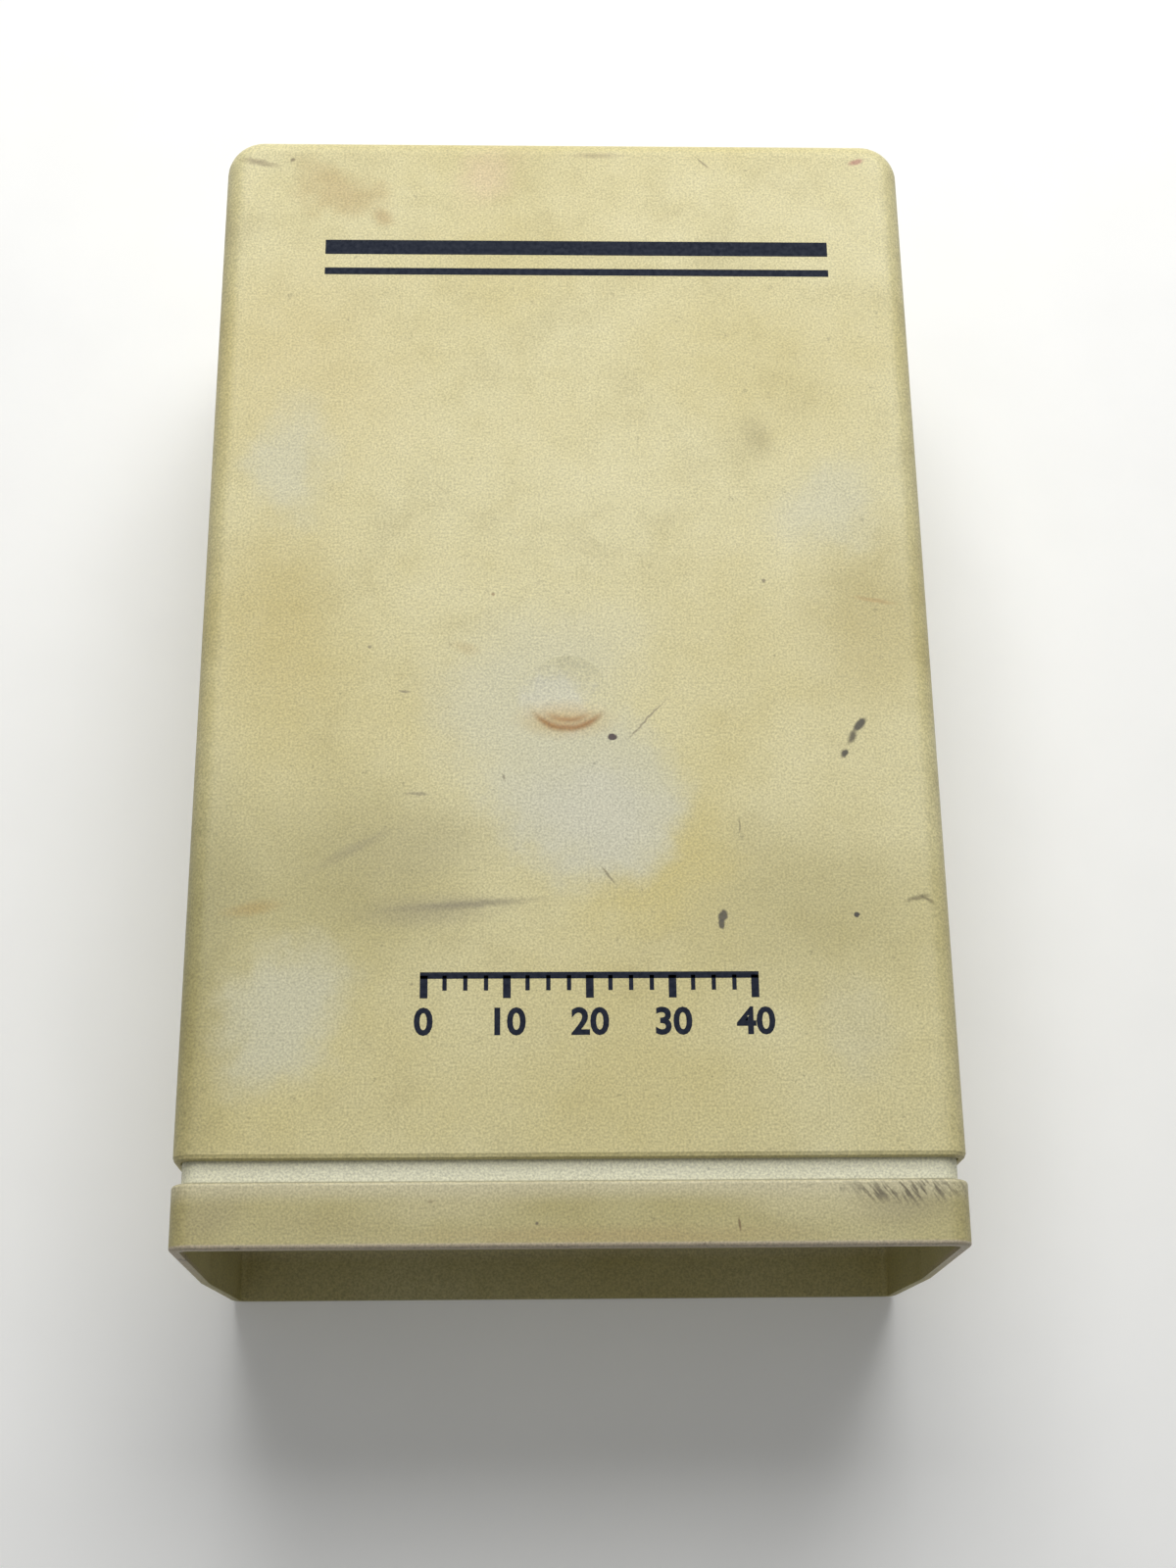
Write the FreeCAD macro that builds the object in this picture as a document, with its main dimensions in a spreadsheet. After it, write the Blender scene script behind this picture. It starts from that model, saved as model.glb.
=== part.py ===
import FreeCAD, Part
import math
import os
import types

import Sketcher

# Pocket moisture meter in a slip-on sleeve, in millimetres.
# X runs across the meter, +Y towards the closed end of the sleeve and the pins, +Z up from the table.
# The origin is on the table, under the middle of the meter as it lies with the sleeve pulled out a little.

Vector = FreeCAD.Vector
Rotation = FreeCAD.Rotation
Constraint = Sketcher.Constraint

SIZES = {
    # outside form
    "case_width": 80.0,
    "case_height": 41.5,
    "case_length": 129.5,
    "split_height": 16.0,
    "foot_lean": 1.7,
    "top_radius": 2.4,
    "foot_radius": 1.8,
    "corner_radius": 4.3,
    "draft_angle": 0.3,
    # sleeve
    "sleeve_wall": 0.8,
    "sleeve_end_wall": 1.6,
    "sleeve_clearance": 0.1,
    "pull_gap": 2.25,
    "mouth_round": 0.5,
    "lip_step": 0.02,
    "gate_radius": 4.2,
    "gate_depth": 0.25,
    "gate_place": 5.7,
    # case halves
    "rim_depth": 6.6,
    "rim_wall": 1.1,
    "case_wall": 1.6,
    "neck_radius": 1.8,
    "edge_round": 0.4,
    "hood_depth": 12.0,
    "boss_radius": 3.4,
    "boss_inset": 8.5,
    "boss_end_gap": 5.0,
    # case screws
    "screw_radius": 1.25,
    "screw_play": 0.15,
    "thread_play": 0.02,
    "screw_bite": 9.0,
    "screw_head_radius": 2.4,
    "screw_head_height": 1.8,
    "screw_head_sink": 3.0,
    "cross_slot_width": 0.6,
    "cross_slot_depth": 0.9,
    # end panel and the guides that hold it
    "panel_thickness": 1.5,
    "panel_play": 0.15,
    "guide_width": 1.6,
    "guide_depth": 1.2,
    # battery drawer
    "battery_width": 26.5,
    "battery_height": 17.5,
    "battery_length": 45.5,
    "battery_fit": 0.3,
    "battery_round": 1.5,
    "tray_wall": 1.2,
    "tray_height": 13.0,
    "tray_stop_height": 4.0,
    "tray_slide": 0.25,
    "front_overlap": 2.0,
    "front_thickness": 1.5,
    "pull_width": 18.0,
    "pull_height": 3.0,
    "pull_reach": 4.5,
    "pull_round": 1.0,
    "bay_gap": 0.8,
    "bay_rib_width": 1.4,
    "bay_rib_height": 9.0,
    # battery contacts
    "stud_spacing": 12.7,
    "stud_radius": 2.8,
    "socket_radius": 3.9,
    "stud_length": 3.0,
    "contact_gap": 0.15,
    "contact_thickness": 0.8,
    "plate_thickness": 1.6,
    "plate_height": 21.0,
    "plate_rib_height": 4.0,
    # probe socket
    "jack_bore": 1.75,
    "jack_thread": 3.0,
    "jack_reach": 3.2,
    "jack_body": 9.0,
    "jack_depth": 13.0,
    "jack_side_gap": 20.0,
    "jack_height": 17.0,
    "jack_nut_height": 2.2,
    "jack_nut_flat": 4.5,
    "jack_back": 1.6,
    "jack_tag_spread": 2.25,
    # display
    "view_width": 46.0,
    "view_depth": 18.0,
    "window_margin": 3.0,
    "window_thickness": 1.2,
    "glass_width": 50.0,
    "glass_depth": 26.0,
    "glass_thickness": 2.2,
    "glass_gap": 0.15,
    "frame_wall": 1.6,
    "strip_width": 2.2,
    "display_from_end": 28.0,
    # label on the face of the case
    "label_margin": 7.0,
    "label_sink": 0.35,
    "label_thickness": 0.3,
    # circuit board
    "board_drop": 8.0,
    "board_thickness": 1.6,
    "board_margin": 1.4,
    "board_near_gap": 9.5,
    "board_far_gap": 2.0,
    "board_screw_spread": 22.0,
    "board_screw_edge": 4.0,
    "board_screw_radius": 1.0,
    "board_screw_bite": 5.0,
    "board_screw_head_radius": 1.9,
    "board_screw_head_height": 1.5,
    "post_radius": 2.6,
    # read key and its switch
    "key_radius": 6.5,
    "key_from_lip": 45.0,
    "key_clearance": 0.25,
    "key_flange": 1.2,
    "key_flange_thickness": 1.2,
    "key_sink": 0.3,
    "key_rest_gap": 0.1,
    "key_dish_radius": 5.0,
    "key_dish_depth": 0.4,
    "key_travel": 1.0,
    "switch_side": 12.0,
    "switch_height": 3.6,
    "plunger_radius": 1.75,
    "plunger_clearance": 0.08,
    "plunger_lap": 0.7,
    # sensing pins
    "pin_spacing": 25.0,
    "pin_radius": 0.8,
    "pin_reach": 13.0,
    "tip_length": 4.0,
    "tip_radius": 0.15,
    "tip_room": 2.0,
    "pin_drop": 16.0,
    "pin_bury": 4.0,
    "holder_radius": 3.0,
    "holder_flange": 4.2,
    "holder_flange_thickness": 1.6,
    "holder_reach": 5.0,
    "nut_height": 3.0,
    "nut_radius": 5.2,
    "block_length": 36.0,
    "block_depth": 5.0,
    "block_height": 8.6,
    # components on the board
    "chip_length": 50.0,
    "chip_width": 13.5,
    "chip_height": 4.0,
    "chip_lift": 0.5,
    "chip_from_display": 4.0,
    "leg_pitch": 2.54,
    "leg_width": 0.6,
    "leg_thickness": 0.4,
    "small_chip_length": 9.8,
    "small_chip_width": 6.4,
    "small_chip_height": 3.4,
    "small_chip_place": 21.0,
    "can_radius": 3.1,
    "can_height": 11.0,
    "can_pitch": 9.0,
    "can_place": -24.0,
    "row_from_end": 36.0,
    "resistor_radius": 1.15,
    "resistor_length": 6.3,
    "resistor_lift": 1.6,
    "resistor_span": 10.0,
    "resistor_wire": 0.3,
    "resistor_bend": 0.7,
    "resistor_pitch": 4.5,
    "resistor_column": 19.0,
    # insulated wires
    "lead_radius": 0.6,
    "lead_bend": 2.4,
    "lead_run": 5.0,
}
CHIP_LEG_COUNT = 19
SMALL_CHIP_LEG_COUNT = 3
CANS = 3
RESISTORS_PER_COLUMN = 4
HEX = 6
OVER = 1.0  # how far a cutting tool runs past the face that it opens
SNAP = 0.01  # how near an edge lies to a plane to count as being in it


class Size:
    """A size: its value now, and the expression that binds a feature to the sheet."""

    def __init__(self, value, text):
        self.value = value
        self.text = text

    def __add__(self, other):
        other = sized(other)
        return Size(self.value + other.value, f"({self.text} + {other.text})")

    def __radd__(self, other):
        return sized(other) + self

    def __sub__(self, other):
        other = sized(other)
        return Size(self.value - other.value, f"({self.text} - {other.text})")

    def __rsub__(self, other):
        return sized(other) - self

    def __mul__(self, other):
        other = sized(other)
        return Size(self.value * other.value, f"({self.text} * {other.text})")

    def __rmul__(self, other):
        return sized(other) * self

    def __truediv__(self, other):
        other = sized(other)
        return Size(self.value / other.value, f"({self.text} / {other.text})")

    def __neg__(self):
        return Size(-self.value, f"(0 - {self.text})")


def sized(item):
    """A plain number as a Size."""
    return item if isinstance(item, Size) else Size(float(item), f"({float(item)!r})")


def fill_sheet(doc):
    """The sheet of driving sizes, and the same sizes as names to work with."""
    sheet = doc.addObject("Spreadsheet::Sheet", "sizes")
    for row, (alias, value) in enumerate(SIZES.items(), start=1):
        sheet.set(f"A{row}", alias)
        sheet.set(f"B{row}", str(value))
        sheet.setAlias(f"B{row}", alias)
    doc.recompute()
    named = {alias: Size(float(sheet.get(alias)), f"sizes.{alias}") for alias in SIZES}
    return types.SimpleNamespace(**named)


doc = FreeCAD.newDocument("moisture_meter")
s = fill_sheet(doc)

# Places that several pieces share.
half = s.case_width / 2
near_lip = -s.case_length / 2
far_end = s.case_length / 2
rim_far = near_lip + s.rim_depth
mouth = rim_far + s.pull_gap
inset = s.sleeve_wall + s.sleeve_clearance
neck_half = half - inset
case_top = s.case_height - inset
roof = case_top - s.case_wall
floor = inset + s.case_wall
sunk = s.case_wall / 2  # how far a rib, boss or post runs into the wall that it stands on
sleeve_stop = far_end - s.pull_gap - s.sleeve_end_wall
case_end = sleeve_stop - s.tip_room - s.pin_reach
inner_end = case_end - s.case_wall
inner_half = neck_half - s.case_wall
panel_near = near_lip + s.hood_depth
panel_far = panel_near + s.panel_thickness
boss_x = half - s.boss_inset
boss_ys = (panel_far + s.boss_end_gap, inner_end - s.boss_end_gap)
board_top = roof - s.board_drop
board_under = board_top - s.board_thickness
board_near = panel_far + s.board_near_gap
board_far = inner_end - s.board_far_gap
post_ys = (board_near + s.board_screw_edge, board_far - s.board_screw_edge)
display_y = case_end - s.display_from_end
key_y = near_lip + s.key_from_lip
pin_z = case_top - s.pin_drop
tray_half = s.battery_width / 2 + s.battery_fit + s.tray_wall
bay_half = tray_half + s.tray_slide + s.bay_rib_width
bay_x = bay_half + s.bay_gap + s.boss_radius - boss_x
tray_bottom = floor + s.tray_slide
battery_bottom = tray_bottom + s.tray_wall
battery_top = battery_bottom + s.battery_height
battery_near = panel_near + s.battery_fit
battery_far = battery_near + s.battery_length
stud_z = battery_bottom + s.battery_height / 2
studs_end = battery_far + s.stud_length
plate_near = studs_end + s.contact_gap + s.contact_thickness
plate_far = plate_near + s.plate_thickness
opening_top = battery_top + s.tray_slide
jack_x = half - s.jack_side_gap
window_under = roof - s.window_thickness
glass_top = window_under - s.glass_gap
glass_under = glass_top - s.glass_thickness
frame_half_width = s.glass_width / 2 + s.glass_gap + s.frame_wall
frame_half_depth = s.glass_depth / 2 + s.glass_gap + s.frame_wall
key_top = case_top - s.key_sink
flange_top = roof - s.key_rest_gap
flange_under = flange_top - s.key_flange_thickness
switch_top = board_top + s.switch_height
row_y = case_end - s.row_from_end


def lean(height):
    """How far the walls lean in at a height below the seam."""
    return s.foot_lean * (1 - height / s.split_height)


def ordered(first, second):
    """Two sizes, the smaller first."""
    return (first, second) if first.value < second.value else (second, first)


# Helpers for bodies built from sketches


def new_body(name):
    return doc.addObject("PartDesign::Body", name)


def sketch(body, name, height=0.0, plane="XY_Plane"):
    """An empty sketch, raised along its plane's normal."""
    made = body.newObject("Sketcher::SketchObject", name)
    base = next(item for item in body.Origin.OriginFeatures if item.Role == plane)
    made.AttachmentSupport = [(base, "")]
    made.MapMode = "FlatFace"
    made.setExpression("AttachmentOffset.Base.z", sized(height).text)
    return made


def dimension(made, constraint, size):
    """Adds one dimension and binds it to the sheet."""
    index = made.addConstraint(constraint)
    name = f"dimension_{index}"
    made.renameConstraint(index, name)
    made.setExpression("Constraints." + name, sized(size).text)


def line(start, end):
    first = Vector(sized(start[0]).value, sized(start[1]).value, 0)
    last = Vector(sized(end[0]).value, sized(end[1]).value, 0)
    return Part.LineSegment(first, last)


def arc(x, y, radius, start, end):
    centre = Vector(x.value, y.value, 0)
    circle = Part.Circle(centre, Vector(0, 0, 1), radius.value)
    return Part.ArcOfCircle(circle, math.radians(start), math.radians(end))


def add_rectangle(made, x0, x1, y0, y1):
    """A rectangle held by its four sides."""
    n = made.GeometryCount
    corners = [(x0, y0), (x1, y0), (x1, y1), (x0, y1)]
    for k in range(4):
        made.addGeometry(line(corners[k], corners[(k + 1) % 4]), False)
    for k in range(4):
        made.addConstraint(Constraint("Coincident", n + k, 2, n + (k + 1) % 4, 1))
    for k, way in enumerate(("Horizontal", "Vertical", "Horizontal", "Vertical")):
        made.addConstraint(Constraint(way, n + k))
    dimension(made, Constraint("DistanceX", -1, 1, n, 1, sized(x0).value), x0)
    dimension(made, Constraint("DistanceX", -1, 1, n, 2, sized(x1).value), x1)
    dimension(made, Constraint("DistanceY", -1, 1, n, 1, sized(y0).value), y0)
    dimension(made, Constraint("DistanceY", -1, 1, n + 2, 1, sized(y1).value), y1)


def add_polygon(made, points):
    """Straight sides between points, each held by its two distances."""
    count = len(points)
    for k in range(count):
        made.addGeometry(line(points[k], points[(k + 1) % count]), False)
    for k, (x, y) in enumerate(points):
        made.addConstraint(Constraint("Coincident", k, 2, (k + 1) % count, 1))
        dimension(made, Constraint("DistanceX", -1, 1, k, 1, x.value), x)
        dimension(made, Constraint("DistanceY", -1, 1, k, 1, y.value), y)


def add_circle(made, x, y, radius):
    """A circle held by its centre and radius; x of None puts it on the middle line."""
    n = made.GeometryCount
    centre = Vector(0 if x is None else x.value, y.value, 0)
    made.addGeometry(Part.Circle(centre, Vector(0, 0, 1), sized(radius).value), False)
    if x is None:
        made.addConstraint(Constraint("PointOnObject", n, 3, -2))
    else:
        dimension(made, Constraint("DistanceX", -1, 1, n, 3, x.value), x)
    dimension(made, Constraint("DistanceY", -1, 1, n, 3, y.value), y)
    dimension(made, Constraint("Radius", n, sized(radius).value), radius)


def add_plan(made, near, far, half_width, corner):
    """The plan of a case: a straight near side, sides with draft, and rounded far corners."""
    made.addGeometry([
        line((-half_width, near), (half_width, near)),
        line((half_width, near), (half_width, far - corner)),
        arc(half_width - corner, far - corner, corner, 0, 90),
        line((half_width - corner, far), (corner - half_width, far)),
        arc(corner - half_width, far - corner, corner, 90, 180),
        line((-half_width, far - corner), (-half_width, near)),
    ], False)
    made.addConstraint([
        Constraint("Coincident", 0, 2, 1, 1),
        Constraint("Coincident", 5, 2, 0, 1),
        Constraint("Tangent", 1, 2, 2, 1),
        Constraint("Tangent", 2, 2, 3, 1),
        Constraint("Tangent", 3, 2, 4, 1),
        Constraint("Tangent", 4, 2, 5, 1),
        Constraint("Symmetric", 0, 1, 0, 2, -2),
        Constraint("Symmetric", 1, 2, 5, 1, -2),
        Constraint("Equal", 2, 4),
    ])
    slope = math.radians(90 + s.draft_angle.value)
    dimension(made, Constraint("DistanceX", 0, 1, 0, 2, 2 * half_width.value), 2 * half_width)
    dimension(made, Constraint("DistanceY", -1, 1, 0, 1, near.value), near)
    dimension(made, Constraint("DistanceY", -1, 1, 3, 1, far.value), far)
    dimension(made, Constraint("Radius", 2, corner.value), corner)
    dimension(made, Constraint("Angle", 1, slope), Size(0, "90 deg + sizes.draft_angle * 1 deg"))


def add_end_view(made, grow):
    """The end view of the sleeve, grown outwards by a little: upright above the seam, leaning in below."""
    side = half + grow
    top = s.case_height + grow
    bottom = -grow
    top_round = s.top_radius + grow
    foot_round = s.foot_radius + grow
    seam = s.split_height
    foot = side - s.foot_lean
    made.addGeometry([
        line((foot_round - foot, bottom), (foot - foot_round, bottom)),
        arc(foot - foot_round, bottom + foot_round, foot_round, -90, 0),
        line((foot, bottom + foot_round), (side, seam)),
        line((side, seam), (side, top - top_round)),
        arc(side - top_round, top - top_round, top_round, 0, 90),
        line((side - top_round, top), (top_round - side, top)),
        arc(top_round - side, top - top_round, top_round, 90, 180),
        line((-side, top - top_round), (-side, seam)),
        line((-side, seam), (-foot, bottom + foot_round)),
        arc(foot_round - foot, bottom + foot_round, foot_round, 180, 270),
    ], False)
    for first, second in ((0, 1), (1, 2), (3, 4), (4, 5), (5, 6), (6, 7), (8, 9), (9, 0)):
        made.addConstraint(Constraint("Tangent", first, 2, second, 1))
    made.addConstraint([
        Constraint("Coincident", 2, 2, 3, 1),
        Constraint("Coincident", 7, 2, 8, 1),
        Constraint("Vertical", 3),
        Constraint("Vertical", 7),
        Constraint("Horizontal", 0),
        Constraint("Horizontal", 5),
        Constraint("Symmetric", 7, 2, 3, 1, -2),
        Constraint("Equal", 4, 6),
        Constraint("Equal", 1, 9),
    ])
    slope = math.atan2(s.split_height.value, s.foot_lean.value)
    slope_text = "atan(sizes.split_height / sizes.foot_lean)"
    dimension(made, Constraint("DistanceX", 7, 2, 3, 1, 2 * side.value), 2 * side)
    dimension(made, Constraint("DistanceY", -1, 1, 3, 1, seam.value), seam)
    dimension(made, Constraint("DistanceY", -1, 1, 5, 1, top.value), top)
    dimension(made, Constraint("DistanceY", -1, 1, 0, 1, bottom.value), bottom)
    dimension(made, Constraint("Radius", 4, top_round.value), top_round)
    dimension(made, Constraint("Radius", 1, foot_round.value), foot_round)
    dimension(made, Constraint("Angle", 2, slope), Size(slope, slope_text))
    dimension(made, Constraint("Angle", 8, -slope), Size(-slope, f"0 deg - {slope_text}"))


def add_foot_view(made, grow):
    """The end view below the seam, grown outwards by a little."""
    side = half + grow
    bottom = -grow
    radius = s.foot_radius + grow
    seam = s.split_height
    foot = side - s.foot_lean
    made.addGeometry([
        line((side, seam), (-side, seam)),
        line((-side, seam), (-foot, bottom + radius)),
        arc(radius - foot, bottom + radius, radius, 180, 270),
        line((radius - foot, bottom), (foot - radius, bottom)),
        arc(foot - radius, bottom + radius, radius, -90, 0),
        line((foot, bottom + radius), (side, seam)),
    ], False)
    for first, second in ((1, 2), (2, 3), (3, 4), (4, 5)):
        made.addConstraint(Constraint("Tangent", first, 2, second, 1))
    made.addConstraint([
        Constraint("Coincident", 0, 2, 1, 1),
        Constraint("Coincident", 5, 2, 0, 1),
        Constraint("Symmetric", 0, 1, 0, 2, -2),
        Constraint("Horizontal", 3),
        Constraint("Equal", 2, 4),
    ])
    slope = math.atan2(s.split_height.value, s.foot_lean.value)
    slope_text = "atan(sizes.split_height / sizes.foot_lean)"
    dimension(made, Constraint("DistanceX", 0, 2, 0, 1, 2 * side.value), 2 * side)
    dimension(made, Constraint("DistanceY", -1, 1, 0, 1, seam.value), seam)
    dimension(made, Constraint("DistanceY", -1, 1, 3, 1, bottom.value), bottom)
    dimension(made, Constraint("Radius", 2, radius.value), radius)
    dimension(made, Constraint("Angle", 5, slope), Size(slope, slope_text))
    dimension(made, Constraint("Angle", 1, -slope), Size(-slope, f"0 deg - {slope_text}"))


def feature(body, kind, name, profile, length, reverse=False):
    """A pad or a pocket of a sketch."""
    made = body.newObject("PartDesign::" + kind, name)
    made.Profile = profile
    made.Reversed = reverse
    made.setExpression("Length", sized(length).text)
    doc.recompute()
    return made


def loft(body, kind, name, sections):
    """A ruled loft through sketches."""
    made = body.newObject("PartDesign::" + kind, name)
    made.Profile = sections[0]
    made.Sections = sections[1:]
    made.Ruled = True
    doc.recompute()
    return made


def fillet(body, name, radius, wanted):
    """Rounds the edges of the body that pass the test."""
    base = body.Tip
    edges = [f"Edge{n}" for n, edge in enumerate(base.Shape.Edges, start=1) if wanted(edge)]
    made = body.newObject("PartDesign::Fillet", name)
    made.Base = (base, edges)
    made.setExpression("Radius", sized(radius).text)
    doc.recompute()
    return made


def in_plane(edge, axis, place):
    """True where the whole edge lies in a plane square to an axis."""
    box = edge.BoundBox
    low = getattr(box, axis + "Min")
    high = getattr(box, axis + "Max")
    place = sized(place).value
    return abs(low - place) < SNAP and abs(high - place) < SNAP


def middle(edge):
    return edge.valueAt((edge.FirstParameter + edge.LastParameter) / 2)


# Helpers for pieces built from plain solids


def bind(made, **sizes):
    for name, size in sizes.items():
        made.setExpression(name, sized(size).text)


def place(made, x, y, z, turn=None):
    if turn is not None:
        made.Placement = FreeCAD.Placement(Vector(), turn)
    for axis, size in (("x", x), ("y", y), ("z", z)):
        made.setExpression("Placement.Base." + axis, sized(size).text)
    return made


def box(name, x0, x1, y0, y1, z0, z1):
    made = doc.addObject("Part::Box", name)
    bind(made, Length=sized(x1) - x0, Width=sized(y1) - y0, Height=sized(z1) - z0)
    return place(made, x0, y0, z0)


def upright(name, x, y, z0, z1, radius):
    """A cylinder along Z."""
    made = doc.addObject("Part::Cylinder", name)
    bind(made, Radius=radius, Height=sized(z1) - z0)
    return place(made, x, y, z0)


ALONG_Y = Rotation(Vector(1, 0, 0), -90)
ALONG_X = Rotation(Vector(0, 1, 0), 90)


def lengthwise(name, x, z, y0, y1, radius):
    """A cylinder along Y."""
    made = doc.addObject("Part::Cylinder", name)
    bind(made, Radius=radius, Height=sized(y1) - y0)
    return place(made, x, y0, z, ALONG_Y)


def crosswise(name, y, z, x0, x1, radius):
    """A cylinder along X."""
    made = doc.addObject("Part::Cylinder", name)
    bind(made, Radius=radius, Height=sized(x1) - x0)
    return place(made, x0, y, z, ALONG_X)


def hexagon(name, x, z, y0, y1, flat):
    """A six-sided prism along Y, measured from its axis to a flat."""
    made = doc.addObject("Part::Prism", name)
    made.Polygon = HEX
    bind(made, Circumradius=flat / math.cos(math.pi / HEX), Height=sized(y1) - y0)
    return place(made, x, y0, z, ALONG_Y)


def fuse(name, shapes):
    made = doc.addObject("Part::MultiFuse", name)
    made.Shapes = shapes
    return made


def group(name, shapes):
    made = doc.addObject("Part::Compound", name)
    made.Links = shapes
    return made


def cut(name, base, tools):
    made = doc.addObject("Part::Cut", name)
    made.Base = base
    made.Tool = tools[0] if len(tools) == 1 else fuse(name + "_tools", tools)
    return made


def soften(name, base, radius, wanted):
    """Rounds the edges of a plain solid that pass the test."""
    doc.recompute()
    made = doc.addObject("Part::Fillet", name)
    made.Base = base
    rounds = [n for n, edge in enumerate(base.Shape.Edges, start=1) if wanted(edge)]
    made.Edges = [(n, radius.value, radius.value) for n in rounds]
    return made


def wire(name, points, thickness, turn):
    """A round wire along straight runs joined by tangent arcs at square corners."""
    radius = thickness.value
    bend = turn.value
    corners = [Vector(*(sized(c).value for c in point)) for point in points]
    edges = []
    start = corners[0]
    for before, corner, after in zip(corners, corners[1:], corners[2:]):
        back = (before - corner).normalize()
        on = (after - corner).normalize()
        first = corner + back * bend
        last = corner + on * bend
        centre = first + on * bend
        middle_point = centre + (corner - centre).normalize() * bend
        edges.append(Part.LineSegment(start, first).toShape())
        edges.append(Part.Arc(first, middle_point, last).toShape())
        start = last
    edges.append(Part.LineSegment(start, corners[-1]).toShape())
    path = Part.Wire(edges)
    ring = Part.Wire([Part.makeCircle(radius, corners[0], corners[1] - corners[0])])
    made = doc.addObject("Part::Feature", name)
    made.Shape = path.makePipeShell([ring], True, False)
    return made


# Sleeve


def build_sleeve_cover():
    body = new_body("sleeve_form")
    lip = mouth + s.mouth_round
    inside_top = s.case_height - s.sleeve_wall
    outer = []
    for n, height in enumerate((sized(0), s.split_height, s.case_height)):
        inward = s.foot_lean if n == 0 else sized(0)
        made = sketch(body, f"sleeve_plan_{n}", height)
        add_plan(made, lip, far_end - inward, half - inward, s.corner_radius)
        outer.append(made)
    loft(body, "AdditiveLoft", "sleeve_outside", outer)
    inner = []
    for n, height in enumerate((s.sleeve_wall, s.split_height, inside_top)):
        inward = s.sleeve_wall + (lean(s.sleeve_wall) if n == 0 else 0)
        end = far_end - s.sleeve_end_wall - inward + s.sleeve_wall
        made = sketch(body, f"sleeve_hollow_{n}", height)
        add_plan(made, lip - OVER, end, half - inward, s.corner_radius - s.sleeve_wall)
        inner.append(made)
    loft(body, "SubtractiveLoft", "sleeve_hollow", inner)
    for name, height, radius in (
        ("sleeve_top_round", s.case_height, s.top_radius),
        ("sleeve_foot_round", sized(0), s.foot_radius),
        ("sleeve_inside_top_round", inside_top, s.top_radius - s.sleeve_wall),
        ("sleeve_inside_foot_round", s.sleeve_wall, s.foot_radius - s.sleeve_wall),
    ):
        fillet(body, name, radius,
               lambda edge: in_plane(edge, "Z", height) and not in_plane(edge, "Y", lip))
    # The rounded edge of the mouth: a ring in two bevels, a hair within the wall behind it.
    bevel = (1 - math.sqrt(0.5)) * s.mouth_round
    sections = []
    for n, (y, grow) in enumerate((
        (lip, -s.lip_step),
        (mouth + bevel, -bevel),
        (mouth, -s.mouth_round),
    )):
        made = sketch(body, f"lip_{n}", -y, "XZ_Plane")
        add_end_view(made, grow)
        sections.append(made)
    loft(body, "AdditiveLoft", "sleeve_lip", sections)
    opening = sketch(body, "lip_opening", OVER - mouth, "XZ_Plane")
    add_end_view(opening, s.lip_step - s.sleeve_wall)
    feature(body, "Pocket", "sleeve_lip_opening", opening, s.mouth_round + OVER)
    # The mark of the moulding gate, a shallow dish in the top.
    ball = doc.addObject("Part::Sphere", "gate_ball")
    ball_radius = (s.gate_radius * s.gate_radius + s.gate_depth * s.gate_depth) / (2 * s.gate_depth)
    bind(ball, Radius=ball_radius)
    place(ball, 0, -s.gate_place, s.case_height - s.gate_depth + ball_radius)
    return cut("sleeve_cover", body, [ball])


# Case halves


def guide_rectangles(made, inner, outer):
    """The pairs of upright guides that hold the end panel, on both side walls."""
    far = panel_far + s.panel_play
    near = panel_near - s.panel_play
    for sign in (-1, 1):
        x0, x1 = ordered(sign * inner, sign * outer)
        add_rectangle(made, x0, x1, far, far + s.guide_depth)
        add_rectangle(made, x0, x1, near - s.guide_depth, near)


def boss_circles(made, radius):
    for sign in (-1, 1):
        for y in boss_ys:
            add_circle(made, sign * boss_x, y, radius)


def post_circles(made, radius):
    for sign in (-1, 1):
        for y in post_ys:
            add_circle(made, sign * s.board_screw_spread, y, radius)


def beyond_neck(edge):
    """True where an edge lies outside the case's neck, in its end view."""
    point = middle(edge)
    return abs(point.x) > neck_half.value + SNAP or point.z > case_top.value + SNAP


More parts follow.
